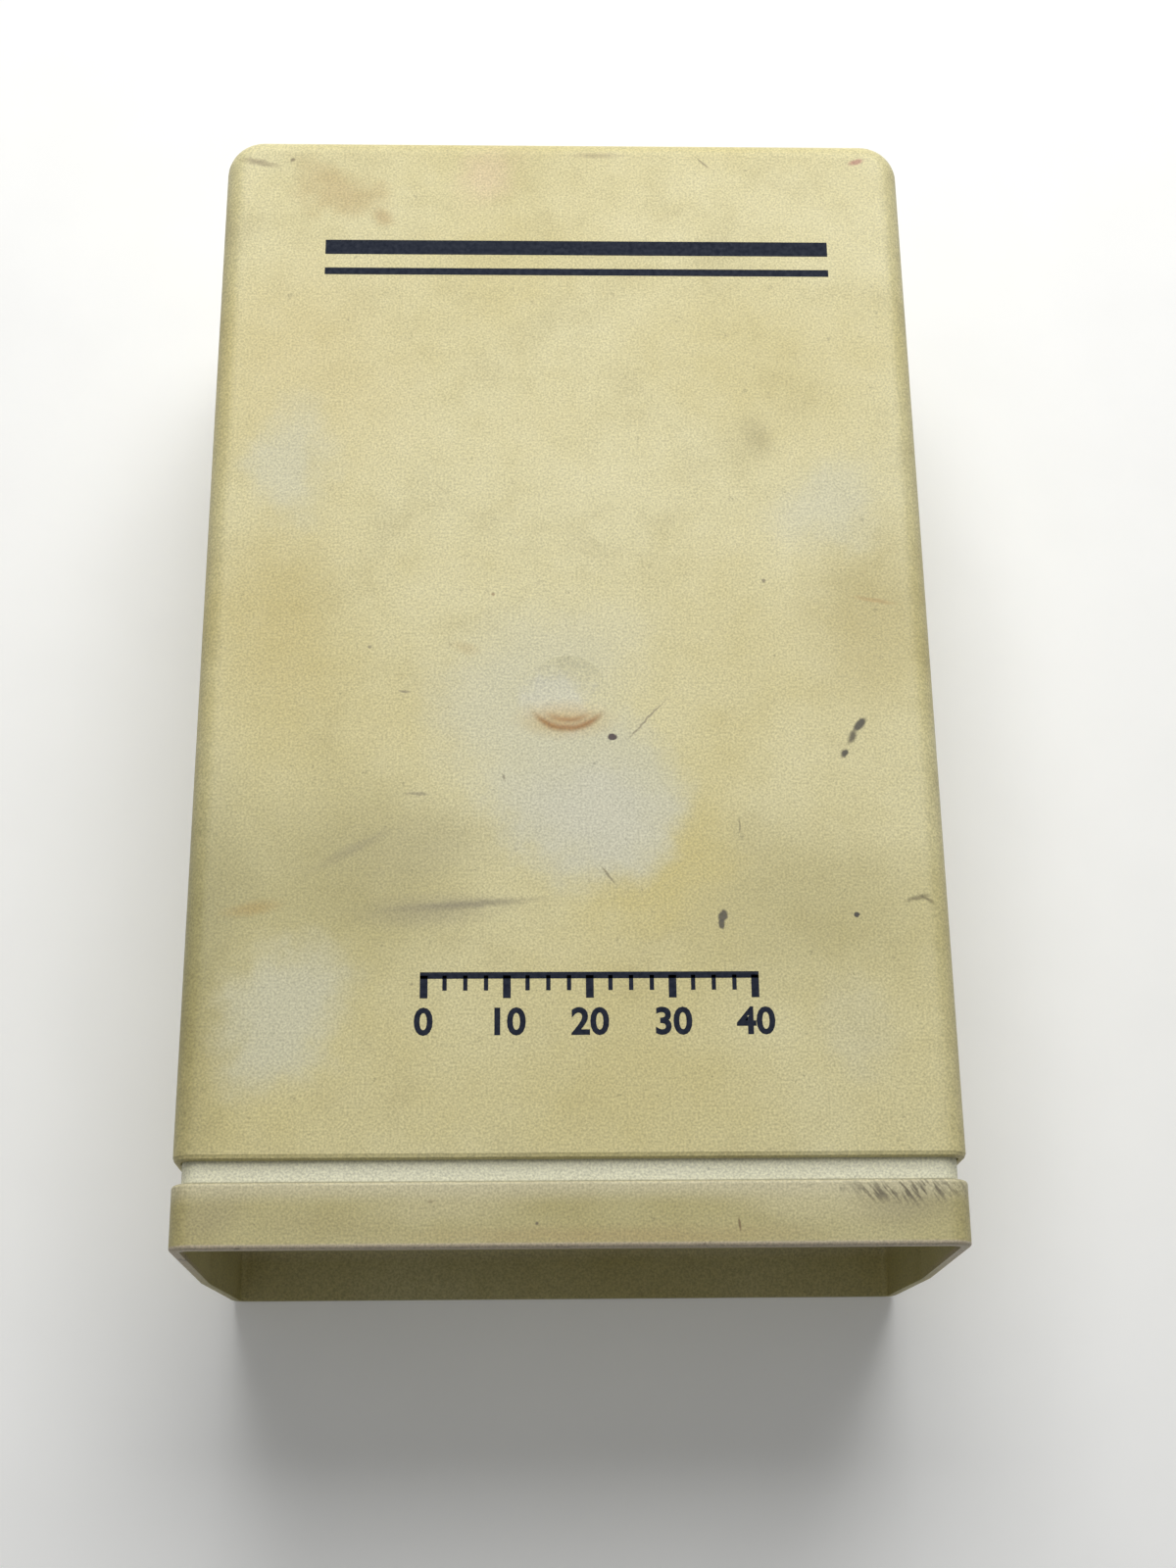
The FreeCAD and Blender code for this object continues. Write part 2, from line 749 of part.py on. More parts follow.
def build_upper_case():
    body = new_body("upper_case")
    seam = s.split_height
    barrel_near = rim_far - s.rim_wall
    corner = s.corner_radius - inset
    barrel = sketch(body, "upper_plan", seam)
    add_plan(barrel, barrel_near, case_end, neck_half, corner)
    feature(body, "Pad", "upper_barrel", barrel, case_top - seam)
    fillet(body, "upper_barrel_round", s.neck_radius,
           lambda edge: in_plane(edge, "Z", case_top) and not in_plane(edge, "Y", barrel_near))
    rim = sketch(body, "upper_rim_plan", seam)
    add_rectangle(rim, -half, half, near_lip, rim_far)
    feature(body, "Pad", "upper_rim", rim, s.case_height - seam)
    fillet(body, "upper_rim_round", s.top_radius,
           lambda edge: in_plane(edge, "Z", s.case_height) and abs(middle(edge).x) > half.value - SNAP)
    fillet(body, "upper_rim_edges", s.edge_round,
           lambda edge: (in_plane(edge, "Y", near_lip) or in_plane(edge, "Y", rim_far))
           and not in_plane(edge, "Z", seam) and beyond_neck(edge))
    hollow = sketch(body, "upper_hollow_plan", seam)
    add_plan(hollow, barrel_near - OVER, inner_end, inner_half, corner - s.case_wall / 2)
    feature(body, "Pocket", "upper_hollow", hollow, roof - seam, True)
    mouth_plan = sketch(body, "upper_mouth_plan", seam)
    inside = half - s.rim_wall
    add_rectangle(mouth_plan, -inside, inside, near_lip - OVER, barrel_near)
    feature(body, "Pocket", "upper_mouth", mouth_plan, s.case_height - s.rim_wall - seam, True)
    fillet(body, "upper_mouth_round", s.top_radius - s.rim_wall,
           lambda edge: in_plane(edge, "Z", s.case_height - s.rim_wall)
           and in_plane(edge, "X", inside if middle(edge).x > 0 else -inside))
    guides = sketch(body, "upper_guides", seam)
    guide_rectangles(guides, inner_half - s.guide_width, inner_half + sunk)
    feature(body, "Pad", "upper_guide_ribs", guides, roof - seam + sunk)
    bosses = sketch(body, "upper_bosses", seam)
    boss_circles(bosses, s.boss_radius)
    feature(body, "Pad", "upper_boss_pads", bosses, roof - seam + sunk)
    threads = sketch(body, "upper_threads", seam)
    boss_circles(threads, s.screw_radius + s.thread_play)
    feature(body, "Pocket", "upper_thread_holes", threads, s.screw_bite + OVER, True)
    posts = sketch(body, "upper_posts", board_top)
    post_circles(posts, s.post_radius)
    feature(body, "Pad", "upper_post_pads", posts, s.board_drop + sunk)
    taps = sketch(body, "upper_taps", board_top)
    post_circles(taps, s.board_screw_radius + s.thread_play)
    feature(body, "Pocket", "upper_tap_holes", taps, s.board_screw_bite + OVER, True)
    view = sketch(body, "upper_view", case_top)
    add_rectangle(view, -s.view_width / 2, s.view_width / 2,
                  display_y - s.view_depth / 2, display_y + s.view_depth / 2)
    add_circle(view, None, key_y, s.key_radius + s.key_clearance)
    feature(body, "Pocket", "upper_view_opening", view, s.case_wall + OVER)
    face = sketch(body, "upper_face", case_top)
    add_rectangle(face, -s.view_width / 2 - s.label_margin, s.view_width / 2 + s.label_margin,
                  key_y - s.key_radius - s.label_margin, display_y + s.view_depth / 2 + s.label_margin)
    feature(body, "Pocket", "upper_face_recess", face, s.label_sink)
    pins = sketch(body, "upper_pin_holes", -case_end, "XZ_Plane")
    for sign in (-1, 1):
        add_circle(pins, sign * s.pin_spacing / 2, pin_z, s.holder_radius + s.thread_play)
    feature(body, "Pocket", "upper_pin_openings", pins, s.case_wall + OVER, True)
    return body


def build_lower_case():
    body = new_body("lower_case")
    seam = s.split_height
    rim = sketch(body, "lower_rim_view", -rim_far, "XZ_Plane")
    add_foot_view(rim, sized(0))
    feature(body, "Pad", "lower_rim", rim, s.rim_depth)
    fillet(body, "lower_rim_edges", s.edge_round,
           lambda edge: (in_plane(edge, "Y", near_lip) or in_plane(edge, "Y", rim_far))
           and not in_plane(edge, "Z", seam))
    corner = s.corner_radius - inset
    barrel = []
    for n, height in enumerate((inset, seam)):
        inward = lean(height)
        made = sketch(body, f"lower_plan_{n}", height)
        add_plan(made, rim_far - s.rim_wall, case_end - inward, neck_half - inward, corner)
        barrel.append(made)
    loft(body, "AdditiveLoft", "lower_barrel", barrel)
    fillet(body, "lower_barrel_round", s.foot_radius - s.sleeve_wall,
           lambda edge: in_plane(edge, "Z", inset) and not in_plane(edge, "Y", rim_far))
    hollow = []
    for n, height in enumerate((floor, seam)):
        inward = lean(height)
        made = sketch(body, f"lower_hollow_plan_{n}", height)
        add_plan(made, rim_far - s.rim_wall - OVER, inner_end - inward, inner_half - inward,
                 corner - s.case_wall / 2)
        hollow.append(made)
    loft(body, "SubtractiveLoft", "lower_hollow", hollow)
    opening = sketch(body, "lower_mouth_view", OVER - near_lip, "XZ_Plane")
    add_foot_view(opening, -s.rim_wall)
    feature(body, "Pocket", "lower_mouth", opening, s.rim_depth - s.rim_wall + OVER)
    guides = sketch(body, "lower_guides", inset + sunk)
    guide_rectangles(guides, inner_half - lean(floor) - s.guide_width, inner_half)
    feature(body, "Pad", "lower_guide_ribs", guides, seam - inset - sunk)
    bosses = sketch(body, "lower_bosses", inset + sunk)
    boss_circles(bosses, s.boss_radius)
    feature(body, "Pad", "lower_boss_pads", bosses, seam - inset - sunk)
    ribs = sketch(body, "lower_ribs", inset + sunk)
    rib_out = bay_half
    rib_in = bay_half - s.bay_rib_width
    add_rectangle(ribs, bay_x - rib_out, bay_x - rib_in, panel_far + s.panel_play, plate_near)
    add_rectangle(ribs, bay_x + rib_in, bay_x + rib_out, panel_far + s.panel_play, plate_near)
    feature(body, "Pad", "lower_bay_ribs", ribs, s.bay_rib_height + sunk)
    plate = sketch(body, "lower_plate_ribs", inset + sunk)
    add_rectangle(plate, bay_x - tray_half, bay_x + tray_half, plate_far, plate_far + s.guide_depth)
    feature(body, "Pad", "lower_plate_rib", plate, s.plate_rib_height + sunk)
    bores = sketch(body, "lower_bores", seam)
    boss_circles(bores, s.screw_radius + s.screw_play)
    feature(body, "Pocket", "lower_screw_bores", bores, s.split_height)
    heads = sketch(body, "lower_heads", inset)
    boss_circles(heads, s.screw_head_radius + s.screw_play)
    feature(body, "Pocket", "lower_head_bores", heads, s.screw_head_sink, True)
    return body


# Base recess: end panel, battery drawer, contacts and probe socket


def build_end_panel():
    body = new_body("panel_form")
    made = sketch(body, "panel_shape", -panel_far, "XZ_Plane")
    side = inner_half - s.panel_play
    foot = side - lean(floor)
    top = roof - s.panel_play
    add_polygon(made, [(-foot, floor), (foot, floor), (side, s.split_height), (side, top), (-side, top),
                       (-side, s.split_height)])
    feature(body, "Pad", "panel_pad", made, s.panel_thickness)
    slot_half = tray_half + s.tray_slide
    slot = box("panel_slot", bay_x - slot_half, bay_x + slot_half, panel_near - OVER, panel_far + OVER,
               floor - OVER, opening_top)
    hole = lengthwise("panel_hole", jack_x, s.jack_height, panel_near - OVER, panel_far + OVER,
                      s.jack_thread + s.thread_play)
    return cut("end_panel", body, [slot, hole])


def build_battery_drawer():
    far = battery_far + s.battery_fit + s.tray_wall
    top = tray_bottom + s.tray_height
    tray = box("tray_block", bay_x - tray_half, bay_x + tray_half, panel_near, far, tray_bottom, top)
    space_half = tray_half - s.tray_wall
    space = box("tray_space", bay_x - space_half, bay_x + space_half, panel_near, far - s.tray_wall,
                battery_bottom, top + OVER)
    notch = box("tray_notch", bay_x - space_half, bay_x + space_half, far - s.tray_wall - OVER, far + OVER,
                battery_bottom + s.tray_stop_height, top + OVER)
    front_half = tray_half + s.front_overlap
    front = box("drawer_front", bay_x - front_half, bay_x + front_half, panel_near - s.front_thickness,
                panel_near, tray_bottom, opening_top + s.front_overlap)
    rounded_front = soften("drawer_front_rounded", front, s.edge_round,
                           lambda edge: in_plane(edge, "Y", panel_near - s.front_thickness))
    middle_z = (tray_bottom + opening_top + s.front_overlap) / 2
    pull_near = panel_near - s.front_thickness - s.pull_reach
    pull = box("drawer_pull", bay_x - s.pull_width / 2, bay_x + s.pull_width / 2, pull_near,
               panel_near - s.front_thickness, middle_z - s.pull_height / 2, middle_z + s.pull_height / 2)
    rounded_pull = soften("drawer_pull_rounded", pull, s.pull_round,
                          lambda edge: in_plane(edge, "Y", pull_near))
    shell = cut("tray_shell", tray, [space, notch])
    return fuse("battery_drawer", [shell, rounded_front, rounded_pull])


def build_battery():
    block = box("battery_block", bay_x - s.battery_width / 2, bay_x + s.battery_width / 2,
                battery_near, battery_far, battery_bottom, battery_top)
    return soften("battery", block, s.battery_round,
                  lambda edge: abs(edge.BoundBox.YLength - s.battery_length.value) < SNAP)


def stud_xs():
    return bay_x - s.stud_spacing / 2, bay_x + s.stud_spacing / 2


def build_battery_studs():
    left, right = stud_xs()
    stud = lengthwise("round_stud", left, stud_z, battery_far, studs_end, s.stud_radius)
    ring = lengthwise("snap_ring", right, stud_z, battery_far, studs_end, s.socket_radius)
    hollow = lengthwise("snap_hollow", right, stud_z, studs_end - s.stud_length / 2, studs_end + OVER,
                        s.stud_radius)
    return group("battery_studs", [stud, cut("snap_socket", ring, [hollow])])


def build_contact_plate():
    plate = box("plate_block", bay_x - tray_half, bay_x + tray_half, plate_near, plate_far,
                floor, floor + s.plate_height)
    holes = [lengthwise(f"plate_hole_{n}", x, stud_z, plate_near - OVER, plate_far + OVER,
                        s.lead_radius + s.thread_play) for n, x in enumerate(stud_xs())]
    return cut("contact_plate", plate, holes)


def build_battery_contacts():
    discs = [lengthwise(f"contact_disc_{n}", x, stud_z, plate_near - s.contact_thickness, plate_near,
                        s.socket_radius) for n, x in enumerate(stud_xs())]
    return group("battery_contacts", discs)


def build_probe_jack():
    back = panel_far + s.jack_depth
    size = s.jack_body / 2
    block = box("jack_block", jack_x - size, jack_x + size, panel_far, back,
                s.jack_height - size, s.jack_height + size)
    bush = lengthwise("jack_bush", jack_x, s.jack_height, panel_near - s.jack_reach, panel_far + OVER,
                      s.jack_thread)
    bore = lengthwise("jack_hole", jack_x, s.jack_height, panel_near - s.jack_reach - OVER,
                      back - s.jack_back, s.jack_bore)
    return cut("probe_jack", fuse("jack_solid", [block, bush]), [bore])


def build_jack_nut():
    near = panel_near - s.jack_nut_height
    nut = hexagon("jack_hex", jack_x, s.jack_height, near, panel_near, s.jack_nut_flat)
    hole = lengthwise("jack_nut_hole", jack_x, s.jack_height, near - OVER, panel_near + OVER,
                      s.jack_thread + s.thread_play)
    return cut("jack_nut", nut, [hole])


# Face of the case: label, window and display


def label_openings(name, z0, z1):
    view = box(name + "_view", -s.view_width / 2, s.view_width / 2, display_y - s.view_depth / 2,
               display_y + s.view_depth / 2, z0, z1)
    key = upright(name + "_key", 0, key_y, z0, z1, s.key_radius + s.key_clearance)
    return [view, key]


def build_face_label():
    low = case_top - s.label_sink
    high = low + s.label_thickness
    side = s.view_width / 2 + s.label_margin - s.glass_gap
    sheet = box("label_sheet", -side, side, key_y - s.key_radius - s.label_margin + s.glass_gap,
                display_y + s.view_depth / 2 + s.label_margin - s.glass_gap, low, high)
    return cut("face_label", sheet, label_openings("label", low - OVER, high + OVER))


def build_display_window():
    x = s.view_width / 2 + s.window_margin
    y = s.view_depth / 2 + s.window_margin
    return box("display_window", -x, x, display_y - y, display_y + y, window_under, roof)


def build_display_frame():
    x = frame_half_width
    y = frame_half_depth
    block = box("frame_block", -x, x, display_y - y, display_y + y, board_top, window_under)
    x = x - s.frame_wall
    y = y - s.frame_wall
    space = box("frame_space", -x, x, display_y - y, display_y + y, board_top - OVER, window_under + OVER)
    return cut("display_frame", block, [space])


def build_display_glass():
    x = s.glass_width / 2
    y = s.glass_depth / 2
    return box("display_glass", -x, x, display_y - y, display_y + y, glass_under, glass_top)


def build_contact_strips():
    x = s.glass_width / 2
    strips = []
    for n, sign in enumerate((-1, 1)):
        y = display_y + sign * (s.glass_depth / 2 - s.strip_width / 2)
        strips.append(box(f"contact_strip_{n}", -x, x, y - s.strip_width / 2, y + s.strip_width / 2,
                          board_top, glass_under))
    return group("contact_strips", strips)


# Circuit board and what it carries


def build_circuit_board():
    side = inner_half - s.board_margin
    blank = box("board_blank", -side, side, board_near, board_far, board_under, board_top)
    reach = s.boss_radius + s.board_margin / 2
    notch_x = boss_x - reach
    notch_y = boss_ys[1] - reach
    tools = []
    for sign in (-1, 1):
        x0, x1 = ordered(sign * notch_x, sign * (side + OVER))
        tools.append(box(f"board_notch_{sign + 1}", x0, x1, notch_y, board_far + OVER,
                         board_under - OVER, board_top + OVER))
        for n, y in enumerate(post_ys):
            tools.append(upright(f"board_hole_{sign + 1}_{n}", sign * s.board_screw_spread, y,
                                 board_under - OVER, board_top + OVER, s.board_screw_radius + s.screw_play))
    return cut("circuit_board", blank, tools)


def screw(name, x, y, seat, tip, radius, head_radius, head_height):
    """A cross-slot screw that points up."""
    head = upright(name + "_head", x, y, seat - head_height, seat, head_radius)
    shank = upright(name + "_shank", x, y, seat - head_height / 2, tip, radius)
    low = seat - head_height
    reach = head_radius - s.cross_slot_width
    slot = s.cross_slot_width / 2
    top = low + s.cross_slot_depth
    long_way = box(name + "_slot_x", x - reach, x + reach, y - slot, y + slot, low - OVER, top)
    short_way = box(name + "_slot_y", x - slot, x + slot, y - reach, y + reach, low - OVER, top)
    return cut(name, fuse(name + "_solid", [head, shank]), [long_way, short_way])


def build_case_screws():
    seat = inset + s.screw_head_sink
    screws = []
    for sign in (-1, 1):
        for n, y in enumerate(boss_ys):
            screws.append(screw(f"case_screw_{sign + 1}_{n}", sign * boss_x, y, seat,
                                s.split_height + s.screw_bite, s.screw_radius,
                                s.screw_head_radius, s.screw_head_height))
    return group("case_screws", screws)


def build_board_screws():
    screws = []
    for sign in (-1, 1):
        for n, y in enumerate(post_ys):
            screws.append(screw(f"board_screw_{sign + 1}_{n}", sign * s.board_screw_spread, y, board_under,
                                board_top + s.board_screw_bite, s.board_screw_radius,
                                s.board_screw_head_radius, s.board_screw_head_height))
    return group("board_screws", screws)


def chip(name, x, y, length, width, height, legs):
    """A moulded chip under the board, with a row of legs along both long sides."""
    top = board_under - s.chip_lift
    shapes = [box(name + "_block", x - length / 2, x + length / 2, y - width / 2, y + width / 2,
                  top - height, top)]
    for row, side in enumerate((y - width / 2 - s.leg_thickness, y + width / 2)):
        for n in range(legs):
            leg_x = x + s.leg_pitch * (n - (legs - 1) / 2)
            shapes.append(box(f"{name}_leg_{row}_{n}", leg_x - s.leg_width / 2, leg_x + s.leg_width / 2,
                              side, side + s.leg_thickness, top - height / 2, board_under))
    return fuse(name, shapes)


def build_driver_chip():
    y = display_y + s.chip_from_display
    return chip("driver_chip", sized(0), y, s.chip_length, s.chip_width, s.chip_height, CHIP_LEG_COUNT)


def build_amplifier_chip():
    return chip("amplifier_chip", s.small_chip_place, row_y, s.small_chip_length, s.small_chip_width,
                s.small_chip_height, SMALL_CHIP_LEG_COUNT)


def build_capacitors():
    cans = [upright(f"can_{n}", s.can_place + n * s.can_pitch, row_y, board_under - s.can_height,
                    board_under, s.can_radius) for n in range(CANS)]
    return group("capacitors", cans)


def build_resistors():
    made = []
    z = board_top + s.resistor_lift
    for column, sign in enumerate((-1, 1)):
        x = sign * s.resistor_column
        for n in range(RESISTORS_PER_COLUMN):
            y = key_y + s.resistor_pitch * (n - (RESISTORS_PER_COLUMN - 1) / 2)
            tag = f"resistor_{column}_{n}"
            left = x - s.resistor_span / 2
            right = x + s.resistor_span / 2
            bead = crosswise(tag + "_body", y, z, x - s.resistor_length / 2, x + s.resistor_length / 2,
                             s.resistor_radius)
            points = [(left, y, board_top), (left, y, z), (right, y, z), (right, y, board_top)]
            legs = wire(tag + "_wire", points, s.resistor_wire, s.resistor_bend)
            made.append(fuse(tag, [bead, legs]))
    return group("resistors", made)


# Read key


def build_key_switch():
    size = s.switch_side / 2
    block = box("switch_block", -size, size, key_y - size, key_y + size, board_top, switch_top)
    well = upright("switch_well", 0, key_y, switch_top - s.plunger_lap - s.key_travel - s.key_rest_gap,
                   switch_top + OVER, s.plunger_radius + s.plunger_clearance)
    return cut("key_switch", block, [well])


def build_switch_plunger():
    return upright("switch_plunger", 0, key_y, switch_top - s.plunger_lap, flange_under, s.plunger_radius)


def build_key_cap():
    cap = upright("cap_button", 0, key_y, flange_under, key_top, s.key_radius)
    rounded = soften("cap_rounded", cap, s.edge_round, lambda edge: in_plane(edge, "Z", key_top))
    flange = upright("cap_flange", 0, key_y, flange_under, flange_top, s.key_radius + s.key_flange)
    ball = doc.addObject("Part::Sphere", "cap_ball")
    radius = (s.key_dish_radius * s.key_dish_radius + s.key_dish_depth * s.key_dish_depth)
    radius = radius / (2 * s.key_dish_depth)
    bind(ball, Radius=radius)
    place(ball, 0, key_y, key_top - s.key_dish_depth + radius)
    return cut("key_cap", fuse("cap_solid", [rounded, flange]), [ball])


# Sensing pins


def pin_xs():
    return -s.pin_spacing / 2, s.pin_spacing / 2


block_near = inner_end - s.block_depth
holder_end = case_end + s.holder_reach
pin_tip = case_end + s.pin_reach


def build_pin_block():
    length = s.block_length / 2
    block = box("block_blank", -length, length, block_near, inner_end,
                pin_z - s.block_height / 2, pin_z + s.block_height / 2)
    holes = [lengthwise(f"block_hole_{n}", x, pin_z, block_near - OVER, inner_end + OVER,
                        s.holder_radius + s.thread_play) for n, x in enumerate(pin_xs())]
    return cut("pin_block", block, holes)


def build_pin_holders():
    holders = []
    for n, x in enumerate(pin_xs()):
        flange = lengthwise(f"holder_flange_{n}", x, pin_z, block_near - s.holder_flange_thickness,
                            block_near, s.holder_flange)
        stem = lengthwise(f"holder_stem_{n}", x, pin_z, block_near - s.holder_flange_thickness / 2,
                          holder_end, s.holder_radius)
        bore = lengthwise(f"holder_bore_{n}", x, pin_z, holder_end - s.pin_bury, holder_end + OVER,
                          s.pin_radius + s.thread_play)
        holders.append(cut(f"pin_holder_{n}", fuse(f"holder_solid_{n}", [flange, stem]), [bore]))
    return group("pin_holders", holders)


def build_pin_nuts():
    nuts = []
    for n, x in enumerate(pin_xs()):
        nut = hexagon(f"nut_hex_{n}", x, pin_z, case_end, case_end + s.nut_height, s.nut_radius)
        hole = lengthwise(f"nut_hole_{n}", x, pin_z, case_end - OVER, case_end + s.nut_height + OVER,
                          s.holder_radius + s.thread_play)
        nuts.append(cut(f"pin_nut_{n}", nut, [hole]))
    return group("pin_nuts", nuts)


def build_electrode_pins():
    pins = []
    for n, x in enumerate(pin_xs()):
        shank = lengthwise(f"pin_shank_{n}", x, pin_z, holder_end - s.pin_bury, pin_tip - s.tip_length,
                           s.pin_radius)
        tip = doc.addObject("Part::Cone", f"pin_tip_{n}")
        bind(tip, Radius1=s.pin_radius, Radius2=s.tip_radius, Height=s.tip_length)
        place(tip, x, pin_tip - s.tip_length, pin_z, ALONG_Y)
        pins.append(fuse(f"electrode_pin_{n}", [shank, tip]))
    return group("electrode_pins", pins)


# Insulated wires inside the case


def rising_lead(name, x, y, z, run):
    """A wire that runs on along Y and then up to the board."""
    points = [(x, y, z), (x, y + run, z), (x, y + run, board_under)]
    return wire(name, points, s.lead_radius, s.lead_bend)


def build_electrode_leads():
    start = block_near - s.holder_flange_thickness
    return group("electrode_leads", [
        rising_lead(f"electrode_lead_{n}", x, start, pin_z, -s.lead_run) for n, x in enumerate(pin_xs())])


def build_battery_leads():
    return group("battery_leads", [
        rising_lead(f"battery_lead_{n}", x, plate_near, stud_z, s.lead_run)
        for n, x in enumerate(stud_xs())])


def build_probe_leads():
    back = panel_far + s.jack_depth
    return group("probe_leads", [
        rising_lead(f"probe_lead_{n}", jack_x + sign * s.jack_tag_spread, back, s.jack_height, s.lead_run)
        for n, sign in enumerate((-1, 1))])


BUILDERS = (
    build_sleeve_cover, build_upper_case, build_lower_case, build_end_panel, build_battery_drawer,
    build_battery, build_battery_studs, build_contact_plate, build_battery_contacts, build_battery_leads,
    build_probe_jack, build_jack_nut, build_probe_leads, build_face_label, build_display_window,
    build_display_frame, build_display_glass, build_contact_strips, build_circuit_board,
    build_board_screws, build_case_screws, build_driver_chip, build_amplifier_chip, build_capacitors,
    build_resistors, build_key_switch, build_switch_plunger, build_key_cap, build_pin_block,
    build_pin_holders, build_pin_nuts, build_electrode_pins, build_electrode_leads,
)


def check(pieces):
    """Stops before anything is written if an object failed or a piece isn't a sound solid."""
    doc.recompute()
    faults = [item.Name for item in doc.Objects if {"Invalid", "Error"} & set(item.State)]
    for piece in pieces:
        shape = piece.Shape
        if shape.isNull() or not shape.isValid() or not shape.Solids:
            faults.append(piece.Label)
    if faults:
        raise RuntimeError("failed: " + ", ".join(faults))


def main():
    pieces = []
    for build in BUILDERS:
        piece = build()
        piece.Label = build.__name__.removeprefix("build_")
        pieces.append(piece)
    check(pieces)
    os.makedirs("parts", exist_ok=True)
    for piece in pieces:
        piece.Shape.exportStep(f"parts/{piece.Label}.step")
        size = piece.Shape.optimalBoundingBox()
        print(f"{piece.Label}: {len(piece.Shape.Solids)} solids, {piece.Shape.Volume:.0f} mm3, "
              f"{size.XLength:.2f} x {size.YLength:.2f} x {size.ZLength:.2f} mm")


main()
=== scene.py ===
import math

import bmesh
import bpy
from mathutils import Matrix, Vector


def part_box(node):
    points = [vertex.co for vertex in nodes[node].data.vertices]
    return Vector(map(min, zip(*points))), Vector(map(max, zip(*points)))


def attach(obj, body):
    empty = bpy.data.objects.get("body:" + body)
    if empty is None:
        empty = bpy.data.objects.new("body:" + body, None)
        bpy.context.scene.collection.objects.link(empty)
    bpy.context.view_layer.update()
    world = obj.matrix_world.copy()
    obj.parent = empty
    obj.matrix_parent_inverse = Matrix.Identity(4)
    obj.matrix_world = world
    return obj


# Pocket moisture meter in its sleeve, lying face up.
# Blender works in metres here, and the sizes in the dictionaries are in mm.
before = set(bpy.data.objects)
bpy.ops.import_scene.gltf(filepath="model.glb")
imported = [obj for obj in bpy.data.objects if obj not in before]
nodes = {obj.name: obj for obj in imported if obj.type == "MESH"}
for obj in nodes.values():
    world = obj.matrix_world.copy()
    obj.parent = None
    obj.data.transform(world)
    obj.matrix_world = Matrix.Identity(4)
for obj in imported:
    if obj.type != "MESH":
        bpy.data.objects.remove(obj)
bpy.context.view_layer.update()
mm = 0.001
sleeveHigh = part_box("sleeve_cover")[1]
topOfSleeve = sleeveHigh.z
caseLow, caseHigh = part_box("upper_case")
rimNear = caseLow.y
print("frame loaded:", len(nodes), "nodes")


def linear(hexColour):
    values = [int(hexColour[k:k + 2], 16) / 255 for k in (1, 3, 5)]
    return [v / 12.92 if v <= 0.04045 else ((v + 0.055) / 1.055) ** 2.4 for v in values] + [1.0]


# adds one shader node: links where an input is a socket, values where it is not
def add(tree, kind, inputs, **settings):
    node = tree.nodes.new("ShaderNode" + kind)
    for name, value in settings.items():
        setattr(node, name, value)
    for key, value in inputs.items():
        if isinstance(value, bpy.types.NodeSocket):
            tree.links.new(value, node.inputs[key])
        else:
            node.inputs[key].default_value = value
    return node


def newMaterial(name, roughness, ior=1.5, metallic=0.0):
    material = bpy.data.materials.new(name)
    material.use_nodes = True
    tree = material.node_tree
    shader = tree.nodes["Principled BSDF"]
    shader.inputs["Roughness"].default_value = roughness
    shader.inputs["Metallic"].default_value = metallic
    if not metallic:
        shader.inputs["IOR"].default_value = ior
    place = add(tree, "TexCoord", {}).outputs["Object"]
    return material, tree, shader, place


def paint(material, *names):
    for name in names:
        slots = nodes[name].data.materials
        slots.clear()
        slots.append(material)


# Yellowed ABS of the sleeve and the rim: spark-textured moulding, matte with a fine grain,
# yellowed by daylight in clouds and left paler where something covered it.
ivory = {
    # the grime colour also paints the shade on the rounded long edges
    "base": "#d7ce9c", "yellowed": "#cdc186", "grimeAndShade": "#8d7f58",
    "shadeBase": "#d0cdb2", "shadeYellowed": "#c8c29e",
    "roughness": 0.5, "glossier": 0.07, "duller": 0.08, "ior": 1.54,
    "cloudMm": 30, "cloudRange": (0.36, 0.64),
    "smudgeMm": 9, "smudgeRange": (0.52, 0.82), "smudgeMost": 0.26,
    "grainMm": 0.3, "grainDepthMm": 0.03, "grainStrength": 0.45,
    "speckMm": 0.24, "speckRange": (0.28, 0.72), "speckTone": (0.76, 1.17),
    "pepperMm": 1.1, "pepperRange": (0.66, 0.74), "pepperTone": 0.7,
    # edge band: grime mixed with painted shade along the rounded long edges
    "edgeMm": 3.2, "edgePatchMm": 9, "edgeRange": (0.4, 0.75), "edgeStrength": (0.1, 0.42),
}
pale = "#cdc9a9"  # plastic that stayed pale under something
fringe = "#c9ba74"  # the yellower plastic round a pale patch
